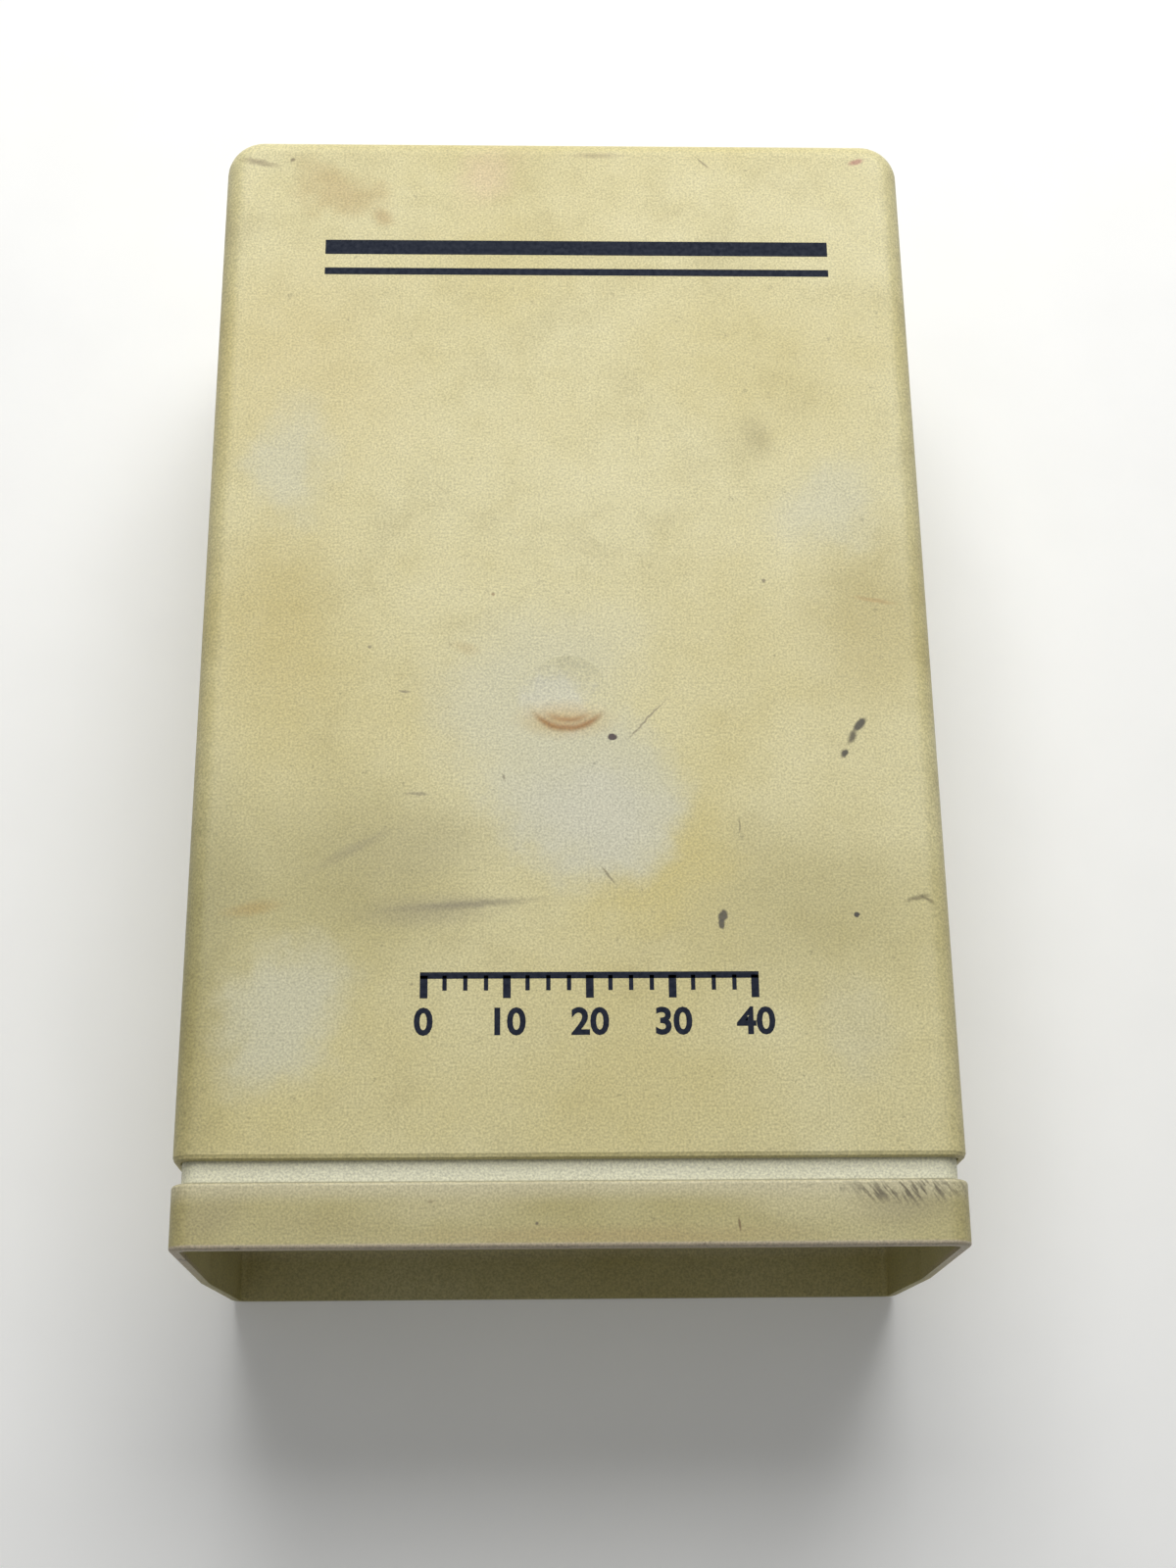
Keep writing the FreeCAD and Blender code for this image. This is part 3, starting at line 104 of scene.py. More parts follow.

# what the years left on top of the sleeve, and painted shade towards its lower corners and lower left edge:
# places and half sizes in mm, turn in degrees, soft is the share of a mark that fades out, amount is how much
# of its colour is mixed in
sleeveMarks = [
    {"at": (-28, 34), "size": (13, 17), "turn": 10, "soft": 0.9, "colour": "#d0c187", "amount": 0.6},
    {"at": (-32, 4), "size": (9, 14), "turn": 4, "soft": 0.9, "colour": "#c2b16c", "amount": 0.65},
    {"at": (33.5, 4), "size": (8.5, 13), "turn": -6, "soft": 0.9, "colour": "#b3a465", "amount": 0.6},
    # painted shade with yellowing: a darker patch at the lower left, where the top's broad highlight falls
    # off
    {"at": (-26, -27), "size": (20, 14), "turn": 8, "soft": 0.9, "colour": "#9f9556", "amount": 0.55},
    {"at": (-16, -23.5), "size": (12, 6), "turn": 14, "soft": 0.9, "colour": "#a39a74", "amount": 0.25},
    # painted shade: a darker strip along the lower left edge
    {"at": (-39, -36), "size": (7, 24), "turn": 0, "soft": 0.9, "colour": "#8c8450", "amount": 0.55},
    # painted shade with yellowing: a darker patch at the lower right, where the highlight falls off
    {"at": (26, -30), "size": (17, 11), "turn": -6, "soft": 0.9, "colour": "#afa468", "amount": 0.6},
    {"at": (9.5, -25), "size": (10, 7), "turn": 35, "soft": 0.7, "colour": fringe, "amount": 0.8},
    {"at": (16.5, -14), "size": (5, 9), "turn": -15, "soft": 0.9, "colour": fringe, "amount": 0.4},
    {"at": (2, -17.2), "size": (12, 11), "turn": -30, "soft": 0.35, "colour": pale, "amount": 0.85},
    {"at": (2, -20), "size": (9.5, 7.5), "turn": -20, "soft": 0.7, "colour": "#cfccb6", "amount": 0.7},
    {"at": (-2.5, -3), "size": (13, 9), "turn": 20, "soft": 0.8, "colour": pale, "amount": 0.6},
    {"at": (-8.5, -9), "size": (7, 7.5), "turn": 20, "soft": 0.8, "colour": pale, "amount": 0.55},
    {"at": (-0.3, -6), "size": (4, 3.6), "turn": 0, "soft": 0.4, "colour": "#d2cfb8", "amount": 0.7},
    {"at": (-0.4, -8.9), "size": (5.2, 2.2), "turn": 0, "soft": 0.9, "colour": "#c0a462", "amount": 0.75},
    {"at": (-29, -41.5), "size": (7, 9.5), "turn": -24, "soft": 0.6, "colour": pale, "amount": 0.9},
    {"at": (-30.2, 21.9), "size": (5, 7.5), "turn": 0, "soft": 0.8, "colour": pale, "amount": 0.75},
    {"at": (29.7, 17.2), "size": (8.5, 6), "turn": 25, "soft": 0.8, "colour": pale, "amount": 0.7},
    {"at": (-32.8, -29.9), "size": (3.4, 0.9), "turn": 10, "soft": 0.9, "colour": "#ae8f49", "amount": 0.5},
    {"at": (-11, -0.6), "size": (1.8, 0.8), "turn": -15, "soft": 0.9, "colour": "#b0955c", "amount": 0.3},
    {"at": (-26.5, 58), "size": (6.5, 3.6), "turn": -35, "soft": 0.8, "colour": "#b9a065", "amount": 0.6},
    {"at": (-20.9, 53.6), "size": (1.6, 1.2), "turn": -40, "soft": 0.8, "colour": "#a98a4c", "amount": 0.55},
    {"at": (-8.8, 58.9), "size": (6, 4), "turn": 60, "soft": 0.9, "colour": "#dcc29c", "amount": 0.5},
    {"at": (21.5, 25.2), "size": (2, 3.2), "turn": 20, "soft": 0.9, "colour": "#9d9264", "amount": 0.4},
    {"at": (-31.7, 61.3), "size": (0.35, 0.35), "turn": 0, "soft": 0.7, "colour": "#6b5c3c", "amount": 0.8},
    {"at": (16.4, 61.3), "size": (0.16, 1.3), "turn": 42, "soft": 0.7, "colour": "#8a7c55", "amount": 0.8},
    {"at": (-22.5, -23.4), "size": (5, 0.7), "turn": 28, "soft": 0.9, "colour": "#8d8464", "amount": 0.4},
    {"at": (-17.5, -5.7), "size": (0.8, 0.2), "turn": -8, "soft": 0.6, "colour": "#7b7156", "amount": 0.7},
    {"at": (-16, -17.3), "size": (1.5, 0.2), "turn": -3, "soft": 0.6, "colour": "#7b7156", "amount": 0.6},
    {"at": (-21.3, -0.5), "size": (0.3, 0.25), "turn": 0, "soft": 0.6, "colour": "#6f664c", "amount": 0.7},
    {"at": (-6.9, -15.5), "size": (0.2, 0.5), "turn": 10, "soft": 0.6, "colour": "#7b7156", "amount": 0.7},
    {"at": (4.1, -26.4), "size": (0.16, 1.4), "turn": 40, "soft": 0.6, "colour": "#807757", "amount": 0.8},
    {"at": (18, -21), "size": (0.14, 1.1), "turn": -6, "soft": 0.6, "colour": "#807757", "amount": 0.7},
    {"at": (21.5, 7.4), "size": (0.25, 0.25), "turn": 0, "soft": 0.6, "colour": "#6a6046", "amount": 0.8},
    {"at": (-8.1, 5.8), "size": (0.22, 0.2), "turn": 0, "soft": 0.6, "colour": "#8a6a3c", "amount": 0.7},
    {"at": (4.7, -10.9), "size": (0.5, 0.42), "turn": 0, "soft": 0.3, "colour": "#2e1713", "amount": 1.0},
    {"at": (31.3, -9.5), "size": (0.55, 1), "turn": -38, "soft": 0.4, "colour": "#2c2506", "amount": 0.97},
    {"at": (30.4, -10.9), "size": (0.42, 1.1), "turn": -26, "soft": 0.7, "colour": "#382f0f", "amount": 0.9},
    {"at": (29.4, -12.8), "size": (0.38, 0.6), "turn": -50, "soft": 0.5, "colour": "#2c2506", "amount": 0.97},
    {"at": (15.9, -30.8), "size": (0.5, 0.75), "turn": -8, "soft": 0.4, "colour": "#302808", "amount": 0.95},
    {"at": (15.8, -31.7), "size": (0.38, 0.6), "turn": -8, "soft": 0.4, "colour": "#302808", "amount": 0.95},
    {"at": (29.8, -30.7), "size": (0.35, 0.3), "turn": 0, "soft": 0.4, "colour": "#221c06", "amount": 1.0},
    {"at": (36.4, -28.9), "size": (1.6, 0.3), "turn": 14, "soft": 0.7, "colour": "#6e643e", "amount": 0.75},
    {"at": (37.4, -29.1), "size": (1, 0.22), "turn": -32, "soft": 0.7, "colour": "#6e643e", "amount": 0.75},
    {"at": (33.6, 5.1), "size": (2.6, 0.35), "turn": -10, "soft": 0.8, "colour": "#a87f3e", "amount": 0.45},
    {"at": (29.3, -42.6), "size": (4.5, 5.5), "turn": 0, "soft": 0.9, "colour": pale, "amount": 0.4},
    {"at": (8.4, -8.9), "size": (3.2, 0.14), "turn": 48, "soft": 0.5, "colour": "#8d8265", "amount": 0.8},
    {"at": (-10.6, -29.5), "size": (8.2, 0.55), "turn": 4, "soft": 0.9, "colour": "#7d7459", "amount": 0.7},
    {"at": (-14.5, -30.2), "size": (8, 2), "turn": 4, "soft": 0.9, "colour": "#938a6a", "amount": 0.5},
    {"at": (-35.5, 61), "size": (2.6, 0.5), "turn": -12, "soft": 0.8, "colour": "#8a7a55", "amount": 0.7},
    {"at": (34.5, 61.6), "size": (1, 0.45), "turn": 20, "soft": 0.6, "colour": "#a3574c", "amount": 0.7},
    {"at": (4, 62.3), "size": (3.4, 0.5), "turn": 0, "soft": 0.8, "colour": "#9a8a62", "amount": 0.5},
]
gateMark = {
    "at": (0, -5.7), "radius": 4.2, "rings": (0.76, 1.0), "width": 0.17, "nearSide": (-0.45, -0.85),
    "colour": "#94661a", "strength": 0.95,
}
markDepth = 8 * mm  # how far down the sides a mark on top still shows


# one mark: an ellipse with a soft edge, mixed over the colour so far
def mark(tree, colour, vector, item):
    x, y = item["at"]
    across, along = item["size"]
    local = add(tree, "Mapping", {
        "Vector": vector,
        "Location": (x * mm, y * mm, topOfSleeve),
        "Rotation": (0, 0, math.radians(item["turn"])),
        "Scale": (across * mm, along * mm, markDepth),
    }, vector_type="TEXTURE")
    reach = add(tree, "VectorMath", {0: local.outputs[0]}, operation="LENGTH")
    mask = add(tree, "MapRange", {
        "Value": reach.outputs["Value"], "From Min": 1 - item["soft"], "From Max": 1 + item["soft"] / 3,
        "To Min": item["amount"], "To Max": 0,
    }, interpolation_type="SMOOTHSTEP")
    return add(tree, "MixRGB", {
        "Fac": mask.outputs[0], "Color1": colour, "Color2": linear(item["colour"])}).outputs[0]


# two brown arcs of old dirt on the near side of the moulding gate's dish
def gateStain(tree, colour, vector):
    x, y = gateMark["at"]
    size = gateMark["radius"] * mm
    begins, full = gateMark["nearSide"]
    local = add(tree, "Mapping", {
        "Vector": vector, "Location": (x * mm, y * mm, topOfSleeve), "Scale": (size, size, markDepth),
    }, vector_type="TEXTURE")
    reach = add(tree, "VectorMath", {0: local.outputs[0]}, operation="LENGTH")
    split = add(tree, "SeparateXYZ", {0: local.outputs[0]})
    nearSide = add(tree, "MapRange", {
        "Value": split.outputs["Y"], "From Min": begins, "From Max": full,
        "To Min": 0, "To Max": gateMark["strength"],
    }, interpolation_type="SMOOTHSTEP")
    for ring in gateMark["rings"]:
        offset = add(tree, "Math", {0: reach.outputs["Value"], 1: ring}, operation="SUBTRACT")
        away = add(tree, "Math", {0: offset.outputs[0]}, operation="ABSOLUTE")
        line = add(tree, "MapRange", {
            "Value": away.outputs[0], "From Min": 0, "From Max": gateMark["width"], "To Min": 1, "To Max": 0,
        }, interpolation_type="SMOOTHSTEP")
        fac = add(tree, "Math", {0: line.outputs[0], 1: nearSide.outputs[0]}, operation="MULTIPLY")
        colour = add(tree, "MixRGB", {
            "Fac": fac.outputs[0], "Color1": colour, "Color2": linear(gateMark["colour"])}).outputs[0]
    return colour


# the plastic itself: clouds of yellowing, smudges and the moulded grain
def ivoryBase(tree, shader, place, base, yellowed):
    clouds = add(tree, "TexNoise", {
        "Vector": place, "Scale": 1 / (ivory["cloudMm"] * mm), "Detail": 4, "Roughness": 0.6})
    low, high = ivory["cloudRange"]
    amount = add(tree, "MapRange", {"Value": clouds.outputs[0], "From Min": low, "From Max": high})
    colour = add(tree, "MixRGB", {
        "Fac": amount.outputs[0], "Color1": linear(base), "Color2": linear(yellowed)}).outputs[0]
    smudges = add(tree, "TexNoise", {
        "Vector": place, "Scale": 1 / (ivory["smudgeMm"] * mm), "Detail": 9, "Roughness": 0.72})
    low, high = ivory["smudgeRange"]
    dirt = add(tree, "MapRange", {
        "Value": smudges.outputs[0], "From Min": low, "From Max": high,
        "To Min": 0, "To Max": ivory["smudgeMost"]})
    colour = add(tree, "MixRGB", {
        "Fac": dirt.outputs[0], "Color1": colour, "Color2": linear(ivory["grimeAndShade"])}).outputs[0]
    grain = add(tree, "TexNoise", {
        "Vector": place, "Scale": 1 / (ivory["grainMm"] * mm), "Detail": 2, "Roughness": 0.6})
    bump = add(tree, "Bump", {
        "Height": grain.outputs[0], "Strength": ivory["grainStrength"],
        "Distance": ivory["grainDepthMm"] * mm})
    tree.links.new(bump.outputs[0], shader.inputs["Normal"])
    gloss = add(tree, "MapRange", {
        "Value": smudges.outputs[0], "From Min": 0.3, "From Max": 0.7,
        "To Min": ivory["roughness"] - ivory["glossier"], "To Max": ivory["roughness"] + ivory["duller"]})
    tree.links.new(gloss.outputs[0], shader.inputs["Roughness"])
    return colour


# light and dark specks of the spark-textured mould, over everything else, and the finished colour's link
def speckle(tree, shader, colour, place):
    specks = add(tree, "TexNoise", {"Vector": place, "Scale": 1 / (ivory["speckMm"] * mm), "Detail": 1})
    low, high = ivory["speckRange"]
    dark, light = ivory["speckTone"]
    tone = add(tree, "MapRange", {
        "Value": specks.outputs[0], "From Min": low, "From Max": high, "To Min": dark, "To Max": light})
    pepper = add(tree, "TexNoise", {
        "Vector": place, "Scale": 1 / (ivory["pepperMm"] * mm), "Detail": 3, "Roughness": 0.7})
    low, high = ivory["pepperRange"]
    dots = add(tree, "MapRange", {
        "Value": pepper.outputs[0], "From Min": low, "From Max": high,
        "To Min": 1, "To Max": ivory["pepperTone"]})
    both = add(tree, "Math", {0: tone.outputs[0], 1: dots.outputs[0]}, operation="MULTIPLY")
    toned = add(tree, "VectorMath", {0: colour, "Scale": both.outputs[0]}, operation="SCALE")
    tree.links.new(toned.outputs[0], shader.inputs["Base Color"])


# coordinates that wander up to an amount each way, so that no mark has a drawn edge
def wander(tree, place, sizeMm, amountMm):
    noise = add(tree, "TexNoise", {
        "Vector": place, "Scale": 1 / (sizeMm * mm), "Detail": 4, "Roughness": 0.6})
    centred = add(tree, "VectorMath", {0: noise.outputs["Color"], 1: (0.5, 0.5, 0.5)}, operation="SUBTRACT")
    scaled = add(tree, "VectorMath", {0: centred.outputs[0], "Scale": amountMm * mm * 2}, operation="SCALE")
    return add(tree, "VectorMath", {0: place, 1: scaled.outputs[0]}, operation="ADD").outputs[0]


# grime and painted shade: a patchy darker band along the long edges, with the shade of their rounding painted
# in
def edgeGrimeAndShade(tree, colour, place, halfX):
    split = add(tree, "SeparateXYZ", {0: place})
    side = add(tree, "Math", {0: split.outputs["X"]}, operation="ABSOLUTE")
    nearEdge = add(tree, "MapRange", {
        "Value": side.outputs[0], "From Min": halfX - ivory["edgeMm"] * mm, "From Max": halfX,
        "To Min": 0, "To Max": 1})
    patchy = add(tree, "TexNoise", {
        "Vector": place, "Scale": 1 / (ivory["edgePatchMm"] * mm), "Detail": 6, "Roughness": 0.7})
    low, high = ivory["edgeRange"]
    least, most = ivory["edgeStrength"]
    where = add(tree, "MapRange", {
        "Value": patchy.outputs[0], "From Min": low, "From Max": high, "To Min": least, "To Max": most})
    fac = add(tree, "Math", {0: nearEdge.outputs[0], 1: where.outputs[0]}, operation="MULTIPLY")
    # painted shade with grime: the long edges darken toward the grime colour
    return add(tree, "MixRGB", {
        "Fac": fac.outputs[0], "Color1": colour, "Color2": linear(ivory["grimeAndShade"])}).outputs[0]


# the sleeve: large stains and patches of painted shade have looser outlines than scratches and spots
def sleeveAbs():
    material, tree, shader, place = newMaterial("yellowedAbsSleeve", ivory["roughness"], ivory["ior"])
    colour = ivoryBase(tree, shader, place, ivory["base"], ivory["yellowed"])
    colour = edgeGrimeAndShade(tree, colour, place, sleeveHigh.x)
    wide = wander(tree, place, sizeMm=8, amountMm=5)
    fine = wander(tree, place, sizeMm=1.1, amountMm=0.35)
    for item in sleeveMarks:
        colour = mark(tree, colour, wide if min(item["size"]) > 3 else fine, item)
    colour = gateStain(tree, colour, wander(tree, place, sizeMm=2.5, amountMm=0.3))
    speckle(tree, shader, colour, place)
    return material


# the case's rim, lip and barrel: pairs of mm are measured along the case from the rim's near or far edge
rim = {
    "base": "#beb584", "yellowed": "#b2a76e", "depthMm": 6.6,
    "lip": "#c0b29e", "lipMm": (0.55, 0.33), "lipStrength": 0.8, "lipHeightMm": (14, 34),
    "nick": "#5d5142", "nickMm": 2.2, "nickRange": (0.6, 0.68),
    # rubbed band: the rim paler toward its far edge, a painted highlight of the lit edge with rubbed wear
    "rubbedAndLit": "#d6ceae", "rubbedAndLitMm": (2.6, 0.3), "rubbedAndLitStrength": 0.6,
    "barrel": "#e8e6cc", "barrelShade": "#dcd9ba", "barrelCloudMm": 9, "barrelMm": (0.15, 0.02),
    # seam line: painted shade, a dark line in the corner where the barrel meets the rim
    "cornerShadeLine": "#77704f", "cornerShadeMm": (0.08, 0.22), "cornerShadeStrength": 0.75,
    "strokes": "#544b35", "strokesAt": (33.6, -59.3), "strokesSize": (6.4, 1.5, 4), "strokesStrength": 0.85,
    "strokesFade": (0.45, 1.15), "strokeMm": (0.42, 2.6), "strokeRange": (0.47, 0.57), "slant": -54,
}
rimMarks = [
    {"at": (33, -60.6), "size": (6.5, 2.6), "turn": 0, "soft": 0.9, "colour": "#8f8566", "amount": 0.5},
    {"at": (-36, -61.5), "size": (4.5, 3), "turn": 30, "soft": 0.9, "colour": "#9a8f6c", "amount": 0.4},
    # the next two: lighter patches on the rim's far part, painted highlight with paler plastic
    {"at": (24, -60.4), "size": (10, 2), "turn": -4, "soft": 0.9, "colour": "#d2c99e", "amount": 0.45},
    {"at": (-12, -60.6), "size": (9, 1.8), "turn": 5, "soft": 0.9, "colour": "#cbc196", "amount": 0.4},
    {"at": (-24, -62.6), "size": (8, 1.8), "turn": -3, "soft": 0.9, "colour": "#a89c68", "amount": 0.4},
    {"at": (4, -63.6), "size": (22, 1.2), "turn": 0, "soft": 0.9, "colour": "#ad9765", "amount": 0.5},
    {"at": (16.6, -62.6), "size": (0.16, 0.8), "turn": 6, "soft": 0.6, "colour": "#6d5a33", "amount": 0.85},
    {"at": (-3.5, -62.4), "size": (0.2, 0.2), "turn": 0, "soft": 0.6, "colour": "#5c5340", "amount": 0.8},
    {"at": (-14, -60.2), "size": (0.35, 0.2), "turn": 20, "soft": 0.8, "colour": "#7d6f4b", "amount": 0.7},
]


# short diagonal strokes of dirt: noise drawn out along a slant, kept to one place
def dirtStrokes(tree, colour, place):
    x, y = rim["strokesAt"]
    across, along = rim["strokeMm"]
    drawn = add(tree, "Mapping", {
        "Vector": place, "Location": (x * mm, y * mm, 0), "Rotation": (0, 0, math.radians(rim["slant"])),
        "Scale": (along * mm, across * mm, 1),
    }, vector_type="TEXTURE")
    noise = add(tree, "TexNoise", {"Vector": drawn.outputs[0], "Scale": 1, "Detail": 2})
    low, high = rim["strokeRange"]
    strokes = add(tree, "MapRange", {"Value": noise.outputs[0], "From Min": low, "From Max": high})
    local = add(tree, "Mapping", {
        "Vector": wander(tree, place, sizeMm=2.5, amountMm=0.9), "Location": (x * mm, y * mm, topOfSleeve),
        "Scale": [size * mm for size in rim["strokesSize"]],
    }, vector_type="TEXTURE")
    reach = add(tree, "VectorMath", {0: local.outputs[0]}, operation="LENGTH")
    begins, ends = rim["strokesFade"]
    area = add(tree, "MapRange", {
        "Value": reach.outputs["Value"], "From Min": begins, "From Max": ends,
        "To Min": rim["strokesStrength"], "To Max": 0})
    fac = add(tree, "Math", {0: strokes.outputs[0], 1: area.outputs[0]}, operation="MULTIPLY")
    return add(tree, "MixRGB", {
        "Fac": fac.outputs[0], "Color1": colour, "Color2": linear(rim["strokes"])}).outputs[0]


# the lip has rubbed to a greyer line, with small dark nicks in it
def wornLip(tree, colour, place, along, height):
    begins, full = rim["lipMm"]
    low, high = rim["lipHeightMm"]
    nearEdge = add(tree, "MapRange", {
        "Value": along, "From Min": rimNear + begins * mm, "From Max": rimNear + full * mm,
        "To Min": 0, "To Max": rim["lipStrength"]})
    upper = add(tree, "MapRange", {"Value": height, "From Min": low * mm, "From Max": high * mm})
    edge = add(tree, "Math", {0: nearEdge.outputs[0], 1: upper.outputs[0]}, operation="MULTIPLY")
    colour = add(tree, "MixRGB", {
        "Fac": edge.outputs[0], "Color1": colour, "Color2": linear(rim["lip"])}).outputs[0]
    chips = add(tree, "TexNoise", {
        "Vector": place, "Scale": 1 / (rim["nickMm"] * mm), "Detail": 5, "Roughness": 0.75})
    low, high = rim["nickRange"]
    nicks = add(tree, "MapRange", {"Value": chips.outputs[0], "From Min": low, "From Max": high})
    fac = add(tree, "Math", {0: nicks.outputs[0], 1: edge.outputs[0]}, operation="MULTIPLY")
    return add(tree, "MixRGB", {
        "Fac": fac.outputs[0], "Color1": colour, "Color2": linear(rim["nick"])}).outputs[0]


# case halves: the rim has yellowed like the sleeve, the barrel was kept from daylight and stayed pale
def caseAbs():
    material, tree, shader, place = newMaterial("yellowedAbsCase", ivory["roughness"], ivory["ior"])
    aged = ivoryBase(tree, shader, place, rim["base"], rim["yellowed"])
    aged = edgeGrimeAndShade(tree, aged, place, caseHigh.x)
    loose = wander(tree, place, sizeMm=3, amountMm=0.8)
    for item in rimMarks:
        aged = mark(tree, aged, loose if min(item["size"]) > 1 else place, item)
    split = add(tree, "SeparateXYZ", {0: place})
    along = split.outputs["Y"]
    aged = wornLip(tree, aged, place, along, split.outputs["Z"])
    rimFar = rimNear + rim["depthMm"] * mm
    # painted highlight with wear: the rim grows paler toward its lit far edge
    begins, full = rim["rubbedAndLitMm"]
    rubbedAndLit = add(tree, "MapRange", {
        "Value": along, "From Min": rimFar - begins * mm, "From Max": rimFar - full * mm,
        "To Min": 0, "To Max": rim["rubbedAndLitStrength"],
    }, interpolation_type="SMOOTHSTEP")
    aged = add(tree, "MixRGB", {
        "Fac": rubbedAndLit.outputs[0], "Color1": aged, "Color2": linear(rim["rubbedAndLit"])}).outputs[0]
    aged = dirtStrokes(tree, aged, place)
    # the barrel begins where the rim ends, with a painted shade line in the corner
    cloud = add(tree, "TexNoise", {
        "Vector": place, "Scale": 1 / (rim["barrelCloudMm"] * mm), "Detail": 6, "Roughness": 0.65})
    shaded = add(tree, "MixRGB", {
        "Fac": cloud.outputs[0], "Color1": linear(rim["barrel"]), "Color2": linear(rim["barrelShade"])})
    # painted shade: a dark line on the barrel just past the rim's far edge
    full, ends = rim["cornerShadeMm"]
    cornerShade = add(tree, "MapRange", {
        "Value": along, "From Min": rimFar + full * mm, "From Max": rimFar + ends * mm,
        "To Min": rim["cornerShadeStrength"], "To Max": 0})
    cornerShaded = add(tree, "MixRGB", {
        "Fac": cornerShade.outputs[0], "Color1": shaded.outputs[0], "Color2": linear(rim["cornerShadeLine"])})
    begins, full = rim["barrelMm"]
    barrel = add(tree, "MapRange", {
        "Value": along, "From Min": rimFar - begins * mm, "From Max": rimFar - full * mm})
    colour = add(tree, "MixRGB", {"Fac": barrel.outputs[0], "Color1": aged, "Color2": cornerShaded.outputs[0]})
    speckle(tree, shader, colour.outputs[0], place)
    return material


# the panel and the drawer: the same plastic, always in shade
def paleAbs():
    material, tree, shader, place = newMaterial("paleAbs", ivory["roughness"], ivory["ior"])
    colour = ivoryBase(tree, shader, place, ivory["shadeBase"], ivory["shadeYellowed"])
    speckle(tree, shader, colour, place)
    return material


paint(sleeveAbs(), "sleeve_cover")
paint(caseAbs(), "upper_case", "lower_case")
paint(paleAbs(), "end_panel", "battery_drawer")
print("ivory plastic done")


# a plain finish with two tones of noise, a bump and a roughness that wanders
finishBump = {"strength": 0.2, "depthMm": 0.02}


def finish(name, light, dark, grainMm, roughness, ior=1.5, metallic=0.0):
    material, tree, shader, place = newMaterial(name, roughness, ior, metallic)
    noise = add(tree, "TexNoise", {
        "Vector": place, "Scale": 1 / (grainMm * mm), "Detail": 5, "Roughness": 0.6})
    blend = add(tree, "MapRange", {"Value": noise.outputs[0], "From Min": 0.35, "From Max": 0.65})
    colour = add(tree, "MixRGB", {"Fac": blend.outputs[0], "Color1": linear(dark), "Color2": linear(light)})
    tree.links.new(colour.outputs[0], shader.inputs["Base Color"])
    gloss = add(tree, "MapRange", {
        "Value": noise.outputs[0], "From Min": 0.3, "From Max": 0.7,
        "To Min": roughness * 0.8, "To Max": roughness * 1.2})
    tree.links.new(gloss.outputs[0], shader.inputs["Roughness"])
    bump = add(tree, "Bump", {
        "Height": noise.outputs[0], "Strength": finishBump["strength"],
        "Distance": finishBump["depthMm"] * mm})
    tree.links.new(bump.outputs[0], shader.inputs["Normal"])
    return material, tree, shader, place, colour.outputs[0]


# a band of another colour between two places along an axis
def band(tree, colour, place, axis, low, high, hexColour):
    split = add(tree, "SeparateXYZ", {0: place})
    above = add(tree, "Math", {0: split.outputs[axis], 1: low}, operation="GREATER_THAN")
    below = add(tree, "Math", {0: split.outputs[axis], 1: high}, operation="LESS_THAN")
    fac = add(tree, "Math", {0: above.outputs[0], 1: below.outputs[0]}, operation="MULTIPLY")
    return add(tree, "MixRGB", {
        "Fac": fac.outputs[0], "Color1": colour, "Color2": linear(hexColour)}).outputs[0]


# black ABS mouldings and the chips' moulded epoxy: dark, with a satin skin
blackAbs = finish("blackAbs", "#2b2b2b", "#1d1d1e", grainMm=0.6, roughness=0.42, ior=1.54)[0]
paint(blackAbs, "probe_jack", "display_frame", "key_switch", "switch_plunger", "pin_block")
epoxy = finish("mouldedEpoxy", "#2c2b2a", "#1b1b1c", grainMm=0.3, roughness=0.55)[0]
paint(epoxy, "driver_chip", "amplifier_chip")
# paper-phenolic sheet: brown, with a flecked fibre look
phenolic = finish("phenolicSheet", "#7a4a2a", "#5f361d", grainMm=1.2, roughness=0.45)[0]
paint(phenolic, "contact_plate")
# zinc-plated and hardened steel, nickel plate and turned brass: metals that pick up the room
zinc = finish("zincPlatedSteel", "#c9c8c4", "#a9a8a5", grainMm=0.5, roughness=0.34, metallic=1.0)[0]
paint(zinc, "board_screws", "case_screws", "battery_studs")
steel = finish("hardenedSteelPin", "#d2d1cd", "#b4b3b0", grainMm=0.4, roughness=0.22, metallic=1.0)[0]
paint(steel, "electrode_pins")
nickel = finish("nickelPlate", "#d6d0c4", "#beb8ac", grainMm=0.8, roughness=0.2, metallic=1.0)[0]
paint(nickel, "jack_nut", "pin_nuts")
brass = finish("turnedBrass", "#d2b06a", "#b58f4c", grainMm=0.7, roughness=0.3, metallic=1.0)[0]
paint(brass, "pin_holders", "battery_contacts")
# silicone strip: pink rubber, dull and a little mottled
silicone = finish("layeredSilicone", "#c58a90", "#a5686f", grainMm=0.4, roughness=0.7)[0]
paint(silicone, "contact_strips")
print("small finishes done")


# insulated wire: one of each pair red, the other black, with a satin PVC skin
def wirePvc(node):
    low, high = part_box(node)
    material, tree, shader, place, colour = finish(
        "pvcInsulation_" + node, "#b02a22", "#9a1f1a", grainMm=1.5, roughness=0.4)
    colour = band(tree, colour, place, "X", low.x - mm, (low.x + high.x) / 2, "#1c1c1d")
    tree.links.new(colour, shader.inputs["Base Color"])
    return material


for node in ("battery_leads", "probe_leads", "electrode_leads"):
    paint(wirePvc(node), node)

# painted steel jacket of the block battery: slate, with a pale band near the studs and crimped steel ends
jacket = {"bandMm": (11, 3), "band": "#c9ccc8", "crimpMm": 1.2, "crimp": "#8f9296"}


